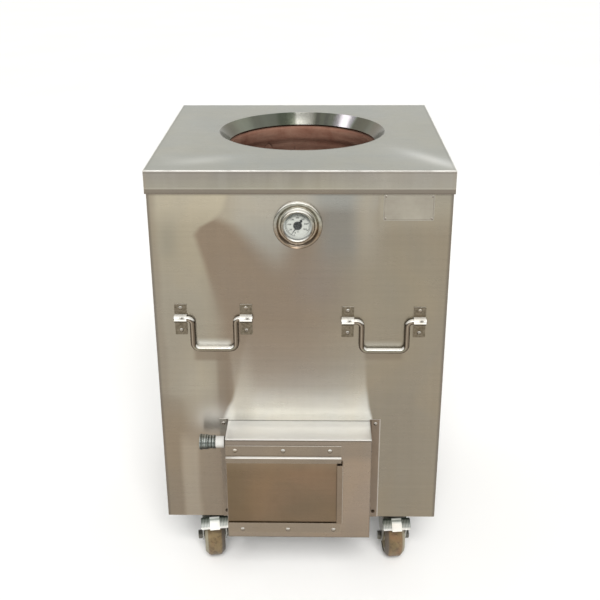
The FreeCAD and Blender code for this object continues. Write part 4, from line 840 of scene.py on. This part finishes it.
def dial_mat():
    g = Mat("dial_enamel_white")
    n1 = g.noise(120, 4, 0.6, (2, 2, 2))
    n2 = g.noise(900, 2, 0.6, (2, 5, 2))
    x, y, z = g.xyz()
    c = g.mix(g.rng(n1, 0.4, 0.8, 0.0, 0.35), (0.60, 0.615, 0.57), (0.52, 0.525, 0.47))
    dx, dz = g.sub(x, GX), g.sub(z, GZ)
    r = g.math("SQRT", g.add(g.mul(dx, dx), g.mul(dz, dz)))
    # grey margin, partly print and partly the bezel wall's painted shade, fading out at the bottom; and the painted
    # shade the bezel casts on the upper part
    ring = g.mul(g.band(r, 0.0240, 0.0254, 0.0008), g.rng(dz, -0.023, -0.010, smooth=True))
    c = g.mix(g.mul(ring, 0.85), c, (0.170, 0.180, 0.155))
    top = g.mul(g.rng(dz, 0.006, 0.020, smooth=True), g.rng(r, 0.015, 0.022, smooth=True))
    c = g.mix(g.mul(top, 0.80), c, (0.135, 0.145, 0.122))
    g.set(base=c, rough=g.rng(n1, 0.3, 0.7, 0.38, 0.5), normal=g.bump(n2, 0.1, 0.0001))
    return g.m


def ink_mat(name, base):
    g = Mat(name)
    n1 = g.noise(1500, 3, 0.6, (2, 2, 2))
    c = g.mix(g.rng(n1, 0.4, 0.7, 0.0, 0.3), base, hexmix(base, 2.2))
    g.set(base=c, rough=g.rng(n1, 0.3, 0.7, 0.35, 0.5), normal=g.bump(n1, 0.1, 0.00005))
    return g.m


def glass_mat():
    g = Mat("gauge_glass")
    n1 = g.noise(70, 4, 0.6, (2, 2, 2))
    g.set(base=(0.10, 0.12, 0.115), metal=0.0, rough=g.rng(n1, 0.35, 0.8, 0.02, 0.09), alpha=0.07, spec=0.5,
          normal=g.bump(g.noise(30, 2, 0.4), 0.02, 0.0005))
    return g.m


def plate_mat():
    """Bare nameplate: brushed sheet with a thin etched border line."""
    g = Mat("bare_nameplate")
    x, y, z = g.xyz()
    gr = g.noise((18, 1500, 1500), 3, 0.6, (2, 1, 1))
    cl = g.noise(28, 3, 0.6, (3, 1, 2))
    dx = g.sub(0.0500, g.math("ABSOLUTE", g.sub(x, 0.215)))
    dz = g.sub(0.0270, g.math("ABSOLUTE", g.sub(z, 0.864)))
    d = g.math("MINIMUM", dx, dz)
    line = g.mul(g.band(d, 0.0020, 0.0027, 0.0003), g.rng(g.noise(500, 3, 0.6), 0.25, 0.45))
    c = g.mix(g.rng(cl, 0.3, 0.7), (0.325, 0.295, 0.243), (0.392, 0.362, 0.300))
    c = g.mix(g.mul(g.sub(gr, 0.2), 0.20), c, (0.60, 0.57, 0.50))
    c = g.mix(g.mul(line, 0.70), c, (0.16, 0.14, 0.12))
    e = g.edge(0.0010)
    c = g.mix(g.mul(e, 0.5), c, (0.72, 0.70, 0.66))
    g.set(base=c, metal=0.95, rough=g.add(0.34, g.mul(g.sub(gr, 0.5), 0.2)), normal=g.bump(gr, 0.12, 0.0003, g.bevel(0.0004)))
    return g.m


M = {}
M["cover"] = steel("stainless_cover", (0.56, 0.55, 0.49), rough=0.30, aniso=0.30, axis="X", rot=0.0, paint=paint_cover, seed=1.0, edge=0.5, bevel=0.0010, blotch=0.05, marks=marks_cover)
M["front"] = steel("stainless_front", (0.36, 0.30, 0.23), rough=0.30, paint=paint_front, seed=2.0, blotch=0.06,
                   marks=marks_front)
M["side"] = steel("stainless_sides", (0.400, 0.355, 0.290), rough=0.27, seed=3.0, blotch=0.05, grain=0.04, paint=paint_side)
M["box"] = steel("stainless_box", (0.36, 0.30, 0.24), rough=0.25, paint=paint_box, seed=4.0, blotch=0.05, edge=0.4, bevel=0.0009, marks=marks_box,
                 dull=lambda g: g.mul(g.rng(g.xyz()[1], BOX_Y + 0.05, BOX_Y + 0.06), 0.28))
M["door"] = steel("stainless_door", (0.22, 0.17, 0.11), rough=0.30, paint=paint_door, seed=5.0, blotch=0.06, edge=0.5, dirt=0.06, marks=marks_door)
M["rail"] = steel("stainless_rails", (0.300, 0.250, 0.195), rough=0.24, paint=paint_rail, seed=6.0, blotch=0.06, edge=0.6, bevel=0.0006, marks=marks_rail)
M["collar"] = steel("stainless_collar", (0.30, 0.31, 0.26), rough=0.15, paint=paint_collar, seed=7.0, blotch=0.08, aniso=0.5, axis="Z", rot=0.0, edge=0.8, dirt=0.10)
M["galv"] = plated("galvanised_sheet", (0.50, 0.51, 0.52), rough=0.42, speck=0.10, dirt=0.45, scale=0.6)
M["bar"] = plated("polished_bar", (0.46, 0.41, 0.35), rough=0.17, speck=0.10, dirt=0.25, edge=0.1, bevel=0.0003, shade=shade_bar)
M["saddle"] = plated("saddle_strap", (0.27, 0.225, 0.17), rough=0.28, speck=0.25, dirt=0.40, edge=0.5, bevel=0.0005, scale=1.4, shade=shade_saddle)
M["chrome"] = plated("chromed_flange", (0.42, 0.375, 0.32), rough=0.14, speck=0.35, dirt=0.45, edge=0.2, bevel=0.0003, scale=1.6, shade=shade_gauge)
M["screw"] = plated("screw_steel", (0.33, 0.29, 0.24), rough=0.22, speck=0.15, dirt=0.45, edge=0.3, bevel=0.0003, scale=2.0, shade=shade_head)
M["stem"] = plated("stem_steel", (0.40, 0.38, 0.35), rough=0.25, speck=0.15, dirt=0.45, edge=0.4, bevel=0.0003, scale=2.0)
M["pedal_left"] = pedal_mat("pedal_zinc_left", -0.210, 9.0)
M["pedal_right"] = pedal_mat("pedal_zinc_right", 0.210, 5.0)
M["zinc"] = plated("zinc_plate", (0.42, 0.425, 0.40), rough=0.24, speck=0.20, dirt=0.50, edge=0.5, bevel=0.0006)
M["axle"] = plated("axle_steel", (0.150, 0.145, 0.125), rough=0.30, speck=0.2, dirt=0.5, edge=0.8, bevel=0.0004, scale=2.0)
M["fitting"] = plated("plated_fitting", (0.30, 0.325, 0.325), rough=0.30, speck=0.25, dirt=0.45, edge=0.5, bevel=0.0004, scale=1.5, shade=shade_fitting)
M["pipe"] = plated("gas_pipe", (0.20, 0.20, 0.21), rough=0.40, speck=0.10, dirt=0.40, scale=1.5)
M["clay"] = clay_mat()
M["wool"] = wool_mat()
M["iron"] = iron_mat()
M["heat"] = heat_mat()
M["brass"] = brass_mat("valve_brass", (0.62, 0.47, 0.22))
M["copper"] = brass_mat("copper_line", (0.68, 0.36, 0.22), (0.30, 0.14, 0.07))
M["black"] = plastic_mat("knob_black", (0.022, 0.021, 0.020), 0.45, 900, 0.3, (0.09, 0.09, 0.09))
M["red"] = plastic_mat("button_red", (0.42, 0.030, 0.022), 0.28, 900, 0.1, (0.55, 0.12, 0.09))
for c, (cx, cy, yaw) in {"front_left": (-0.210, -0.222, 9.0), "front_right": (0.210, -0.222, 5.0), "rear_left": (-0.210, 0.222, -6.0),
                         "rear_right": (0.210, 0.222, 5.0)}.items():
    M["tyre_" + c] = tyre_mat("tyre_resin_" + c, cx, cy + YS, yaw, -1.0 if cx < 0 else 1.0)
M["core"] = core_mat()
M["nipple"] = nipple_mat()
M["dial"] = dial_mat()
M["ink"] = ink_mat("dial_ink", (0.020, 0.020, 0.020))
M["pointer"] = ink_mat("pointer_black", (0.016, 0.016, 0.016))
M["glass"] = glass_mat()
M["plate"] = plate_mat()

USE = {
    "top_cover": "cover", "front_panel": "front", "rear_panel": "side", "left_panel": "side", "right_panel": "side",
    "burner_box": "box", "sliding_door": "door", "door_rails": "rail", "mouth_collar": "collar",
    "handle_left": "bar", "handle_right": "bar", "handle_saddles": "saddle", "gauge_flange": "chrome",
    "base_pan": "galv", "pot_shelf": "galv", "frame": "galv", "gauge_case": "galv", "gauge_ring_nut": "galv",
    "clay_pot": "clay", "insulation": "wool", "flame_spreader": "heat", "panel_screws": "screw", "rivets": "screw",
    "gauge_stem": "stem", "pilot_burner": "stem", "nameplate": "plate", "gauge_dial": "dial", "gauge_pointer": "pointer",
    "gauge_lens": "glass", "caster_plates": "zinc", "kingpins": "zinc", "caster_bolts": "zinc",
    "brake_pedal_front_left": "pedal_left", "brake_pedal_front_right": "pedal_right", "gas_nipple": "nipple", "gas_union_nut": "fitting",
    "gas_inlet_coupling": "fitting", "gas_pipe": "pipe", "safety_valve": "brass", "gas_cock": "brass", "thermocouple": "copper",
    "burner": "iron", "cock_knob": "black", "reset_button": "red"}
for c in ("front_left", "front_right", "rear_left", "rear_right"):
    USE["fork_" + c], USE["axle_" + c] = "zinc", "axle"
    USE["tyre_" + c] = "tyre_" + c
    USE["hub_" + c] = "core"
for name, ob in NODES.items():
    ob.data.materials.clear()
    ob.data.materials.append(M[USE[name]])


# ----------------------------------------------------------------------------------------------------------------------
# pieces made here
# ----------------------------------------------------------------------------------------------------------------------
def obj_from(name, verts, faces, mat, smooth=None):
    me = bpy.data.meshes.new(name)
    me.from_pydata([tuple(v) for v in verts], [], faces)
    me.materials.append(mat)
    ob = bpy.data.objects.new(name, me)
    COL.objects.link(ob)
    bm = bmesh.new()
    bm.from_mesh(me)
    bmesh.ops.recalc_face_normals(bm, faces=bm.faces)
    if smooth is not None:
        for f in bm.faces:
            f.smooth = True
        for e in bm.edges:
            if len(e.link_faces) == 2 and e.calc_face_angle(0.0) > math.radians(smooth):
                e.smooth = False
    bm.to_mesh(me)
    bm.free()
    return ob


def lathe(profile, n, warp=None, cx=0.0, cy=0.0):
    """Closed ring from a closed (r, z) outline."""
    verts, faces = [], []
    m = len(profile)
    for i in range(n):
        a = 2 * math.pi * i / n
        for j, (r, z) in enumerate(profile):
            if warp:
                r, z = warp(j, a, r, z)
            verts.append((cx + r * math.cos(a), cy + r * math.sin(a), z))
    for i in range(n):
        k = (i + 1) % n
        for j in range(m):
            q = (j + 1) % m
            faces.append((i * m + j, k * m + j, k * m + q, i * m + q))
    return verts, faces


# dial figures and marks: plain numbers, the hand at 20
def dial_piece():
    verts, faces = [], []

    def at(r, deg):
        a = math.radians(deg)
        return GX + r * math.cos(a), GZ + r * math.sin(a)

    y0 = F - 0.0046 - 0.00002       # just in front of the dial
    y1 = y0 - 0.00006

    def slab(outline):
        k = len(verts)
        n = len(outline)
        for x, z in outline:
            verts.append((x, y0, z))
        for x, z in outline:
            verts.append((x, y1, z))
        faces.append(tuple(range(k + n - 1, k - 1, -1)))
        faces.append(tuple(range(k + n, k + 2 * n)))
        for i in range(n):
            j = (i + 1) % n
            faces.append((k + i, k + j, k + n + j, k + n + i))

    for i in range(36):
        deg = 251.7 - 8.0 * i
        big = i % 5 == 0
        r0, r1, w = (0.0196, 0.0229, 0.00055) if big else (0.0210, 0.0229, 0.00032)
        a = math.radians(deg)
        tx, tz = -math.sin(a) * w, math.cos(a) * w
        p, q = at(r0, deg), at(r1, deg)
        slab([(p[0] - tx, p[1] - tz), (q[0] - tx, q[1] - tz), (q[0] + tx, q[1] + tz), (p[0] + tx, p[1] + tz)])
    # the scale's arc
    n = 96
    for i in range(n):
        d0, d1 = 251.7 - 280.0 * i / n, 251.7 - 280.0 * (i + 1) / n
        a, b, c, d = at(0.02285, d0), at(0.02320, d0), at(0.02320, d1), at(0.02285, d1)
        slab([a, b, c, d])
    ob = obj_from("dial_scale_marks", verts, faces, M["ink"])
    return ob


def text_mesh(body, size, x, z, y, depth=0.00003, bold=0.0):
    cu = bpy.data.curves.new("tmp_text", "FONT")
    cu.body = body
    cu.size = size
    cu.align_x = "CENTER"
    cu.align_y = "CENTER"
    cu.extrude = depth
    cu.offset = bold
    cu.resolution_u = 4
    ob = bpy.data.objects.new("tmp_text", cu)
    COL.objects.link(ob)
    bpy.context.view_layer.update()
    me = bpy.data.meshes.new_from_object(ob.evaluated_get(bpy.context.evaluated_depsgraph_get()))
    bpy.data.objects.remove(ob)
    bpy.data.curves.remove(cu)
    me.transform(Matrix.Translation((x, y, z)) @ Matrix.Rotation(math.radians(90), 4, "X"))
    return me


def dial_numbers():
    bm = bmesh.new()
    y = F - 0.0046 - 0.00006
    for k in range(8):
        deg = math.radians(251.7 - 40.0 * k)
        r = 0.0162
        me = text_mesh(str(50 * k), 0.0046, GX + r * math.cos(deg), GZ + r * math.sin(deg), y, bold=0.00014)
        bm.from_mesh(me)
        bpy.data.meshes.remove(me)
    me = text_mesh("°C", 0.0042, GX + 0.0002, GZ - 0.0135, y, bold=0.00002)
    bm.from_mesh(me)
    bpy.data.meshes.remove(me)
    bmesh.ops.remove_doubles(bm, verts=bm.verts, dist=1e-7)
    bmesh.ops.recalc_face_normals(bm, faces=bm.faces)
    me = bpy.data.meshes.new("dial_numbers")
    bm.to_mesh(me)
    bm.free()
    me.materials.append(M["ink"])
    ob = bpy.data.objects.new("dial_numbers", me)
    COL.objects.link(ob)
    return ob


for ob in (dial_piece(), dial_numbers()):
    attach(ob, "cabinet")


# the clay pot: thrown by hand, so its wall is uneven, with finger ridges and a worn lip
def clay_pot():
    ins = [(0.168, 0.904), (0.1705, 0.884), (0.186, 0.855), (0.203, 0.812), (0.214, 0.745), (0.218, 0.660),
           (0.216, 0.560), (0.207, 0.450), (0.194, 0.360), (0.182, 0.300)]
    outs = [(0.209, 0.268), (0.222, 0.360), (0.235, 0.450), (0.244, 0.560), (0.246, 0.660), (0.242, 0.745),
            (0.231, 0.812), (0.214, 0.855), (0.199, 0.884), (0.196, 0.904)]

    def curve(pts, step):
        p = [Vector((a, b)) for a, b in pts]
        p = [2 * p[0] - p[1]] + p + [2 * p[-1] - p[-2]]
        res = []
        for i in range(1, len(p) - 2):
            d = max(2, int((p[i + 1] - p[i]).length / step))
            for k in range(d):
                t = k / d
                res.append(0.5 * ((2 * p[i]) + (p[i + 1] - p[i - 1]) * t + (2 * p[i - 1] - 5 * p[i] + 4 * p[i + 1] - p[i + 2]) * t * t
                                  + (3 * p[i] - p[i - 1] - 3 * p[i + 1] + p[i + 2]) * t ** 3))
        res.append(p[-2])
        return [(v.x, v.y) for v in res]

    prof, kind = [], []

    def put(pts, k):
        for q in pts:
            prof.append(q)
            kind.append(k)

    put(curve(ins, 0.0045), 1)
    put([(0.1796, 0.2944), (0.174, 0.292)], 0)
    put([(0.150, 0.292), (0.120, 0.292), (0.095, 0.292), (0.073, 0.292), (0.0709, 0.2911), (0.070, 0.289), (0.070, 0.262), (0.120, 0.262), (0.203, 0.262)], 0)
    put(curve(outs, 0.03), 0)
    put([(0.19395, 0.90895), (0.189, 0.911), (0.182, 0.911), (0.175, 0.911), (0.17005, 0.90895)], 2)

    def warp(j, a, r, z):
        k = kind[j]
        if k == 0:
            return r, z
        p = Vector((math.cos(a), math.sin(a), z * 3.2))
        n = mnoise.fractal(p * 2.4, 1.0, 2.0, 4)
        ridge = math.sin(z * 2 * math.pi / 0.021 + 1.4 * mnoise.noise(p * 3.0)) * 0.5 + 0.5
        if k == 1:
            fade = min(1.0, max(0.0, (z - 0.31) / 0.04)) * min(1.0, max(0.0, (0.906 - z) / 0.02))
            # hollows only: the wall never comes in further than its solid
            return r + fade * (0.0009 * ridge + 0.0016 * abs(n)), z
        return r, z - 0.0012 * abs(n)

    v, f = lathe(prof, 168, warp, 0.0, POT_Y)
    ob = obj_from("clay_pot_wall", v, f, M["clay"], 50)
    return ob


pot = clay_pot()
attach(pot, "cabinet")
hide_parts("clay_pot")


# ----------------------------------------------------------------------------------------------------------------------
# camera, light, floor
# ----------------------------------------------------------------------------------------------------------------------
cam = bpy.data.cameras.new("camera")
cam.sensor_width = 36.0
cam.lens = 947.4 / 600.0 * 36.0
cam_ob = bpy.data.objects.new("camera", cam)
COL.objects.link(cam_ob)
yaw, pitch, roll = math.radians(-1.15), math.radians(23.32), math.radians(-0.28)
fwd = Vector((math.sin(yaw) * math.cos(pitch), math.cos(yaw) * math.cos(pitch), -math.sin(pitch)))
right = Vector((math.cos(yaw), -math.sin(yaw), 0.0))
up = right.cross(fwd)
r2 = right * math.cos(roll) + up * math.sin(roll)
u2 = -right * math.sin(roll) + up * math.cos(roll)
m = Matrix.Identity(4)
for i in range(3):
    m[i][0], m[i][1], m[i][2] = r2[i], u2[i], -fwd[i]
m.translation = Vector((0.0358, -2.084 + YS, 1.4342))
cam_ob.matrix_world = m
cam.clip_end = 200.0
bpy.context.scene.camera = cam_ob


def area(name, loc, target, sx, sy, power, color=(1, 1, 1)):
    li = bpy.data.lights.new(name, "AREA")
    li.shape = "RECTANGLE"
    li.size, li.size_y = sx, sy
    li.energy = power
    li.color = color
    ob = bpy.data.objects.new(name, li)
    COL.objects.link(ob)
    d = (Vector(target) - Vector(loc)).normalized()
    ob.matrix_world = Matrix.Translation(loc) @ d.to_track_quat("-Z", "Y").to_matrix().to_4x4()
    return ob


area("softbox_front", (0.15, -4.3, 3.0), (0, -0.1, 0.5), 3.0, 1.6, 27, (1.0, 1.0, 1.0))
area("strip_top", (0.20, -1.42, 3.74), (0.0, 0.08, 0.92), 1.35, 0.34, 3.2, (1.0, 0.995, 0.98))
area("softbox_low", (-0.45, -2.45, 3.75), (0.0, -0.3, 0.1), 1.5, 0.6, 5.0, (1.0, 0.995, 0.985))
area("softbox_left", (-2.62, 0.08, 3.85), (0.1, 0.22, 0.93), 0.7, 1.3, 7.5, (1.0, 0.985, 1.0))
su = bpy.data.lights.new("window", "SUN")
su.energy = 2.95
su.angle = math.radians(32)
su.color = (1.0, 0.995, 0.985)
su_ob = bpy.data.objects.new("window", su)
COL.objects.link(su_ob)
d = Vector((-math.sin(math.radians(6)) * math.cos(math.radians(44)), math.cos(math.radians(6)) * math.cos(math.radians(44)), -math.sin(math.radians(44))))
su_ob.matrix_world = d.to_track_quat("-Z", "Y").to_matrix().to_4x4()
su_ob.visible_glossy = False

world = bpy.data.worlds.new("studio")
bpy.context.scene.world = world
world.use_nodes = True
wt = world.node_tree
wt.nodes.clear()
wo = wt.nodes.new("ShaderNodeOutputWorld")
bg = wt.nodes.new("ShaderNodeBackground")
tc = wt.nodes.new("ShaderNodeTexCoord")
sp = wt.nodes.new("ShaderNodeSeparateXYZ")
ramp = wt.nodes.new("ShaderNodeValToRGB")
wt.links.new(tc.outputs["Generated"], sp.inputs[0])


def wmath(op, a, b, clamp=False):
    n = wt.nodes.new("ShaderNodeMath")
    n.operation, n.use_clamp = op, clamp
    for k, v in enumerate((a, b)):
        if isinstance(v, bpy.types.NodeSocket):
            wt.links.new(v, n.inputs[k])
        else:
            n.inputs[k].default_value = v
    return n.outputs[0]


# pale wall behind, dimmer room in front, soft from one to the other
behind = wmath("MULTIPLY_ADD", sp.outputs["Y"], 0.75, True)
behind.node.inputs[2].default_value = 0.45
wt.links.new(behind, ramp.inputs[0])
wt.links.new(ramp.outputs[0], bg.inputs[0])
wt.links.new(bg.outputs[0], wo.inputs[0])
cr = ramp.color_ramp
cr.interpolation = "EASE"
cr.elements[0].position, cr.elements[0].color = 0.0, (0.36, 0.355, 0.34, 1)
cr.elements[1].position, cr.elements[1].color = 1.0, (0.82, 0.83, 0.82, 1)
bg.inputs[1].default_value = 1.0

fl = Mat("pale_floor")
fl_n = fl.noise(1.7, 3, 0.5)
fl.set(base=fl.mix(fl.rng(fl_n, 0.3, 0.7), (0.835, 0.83, 0.82), (0.85, 0.845, 0.84)), rough=0.9, spec=0.1)
me = bpy.data.meshes.new("floor")
S = 30.0
me.from_pydata([(-S, -S, 0), (S, -S, 0), (S, S, 0), (-S, S, 0)], [], [(0, 1, 2, 3)])
me.materials.append(fl.m)
floor = bpy.data.objects.new("floor", me)
floor.location.z = -0.0006
COL.objects.link(floor)
floor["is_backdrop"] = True

sc = bpy.context.scene
sc.view_settings.view_transform = "Standard"
sc.view_settings.look = "None"
sc.view_settings.exposure = 0.0
sc.view_settings.gamma = 1.0


def plain(b):
    try:
        return [[float(v) for v in p] for p in b]
    except TypeError:
        return str(b)


{"cad_box": plain(CAD_BOX), "visual_box": plain(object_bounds())}
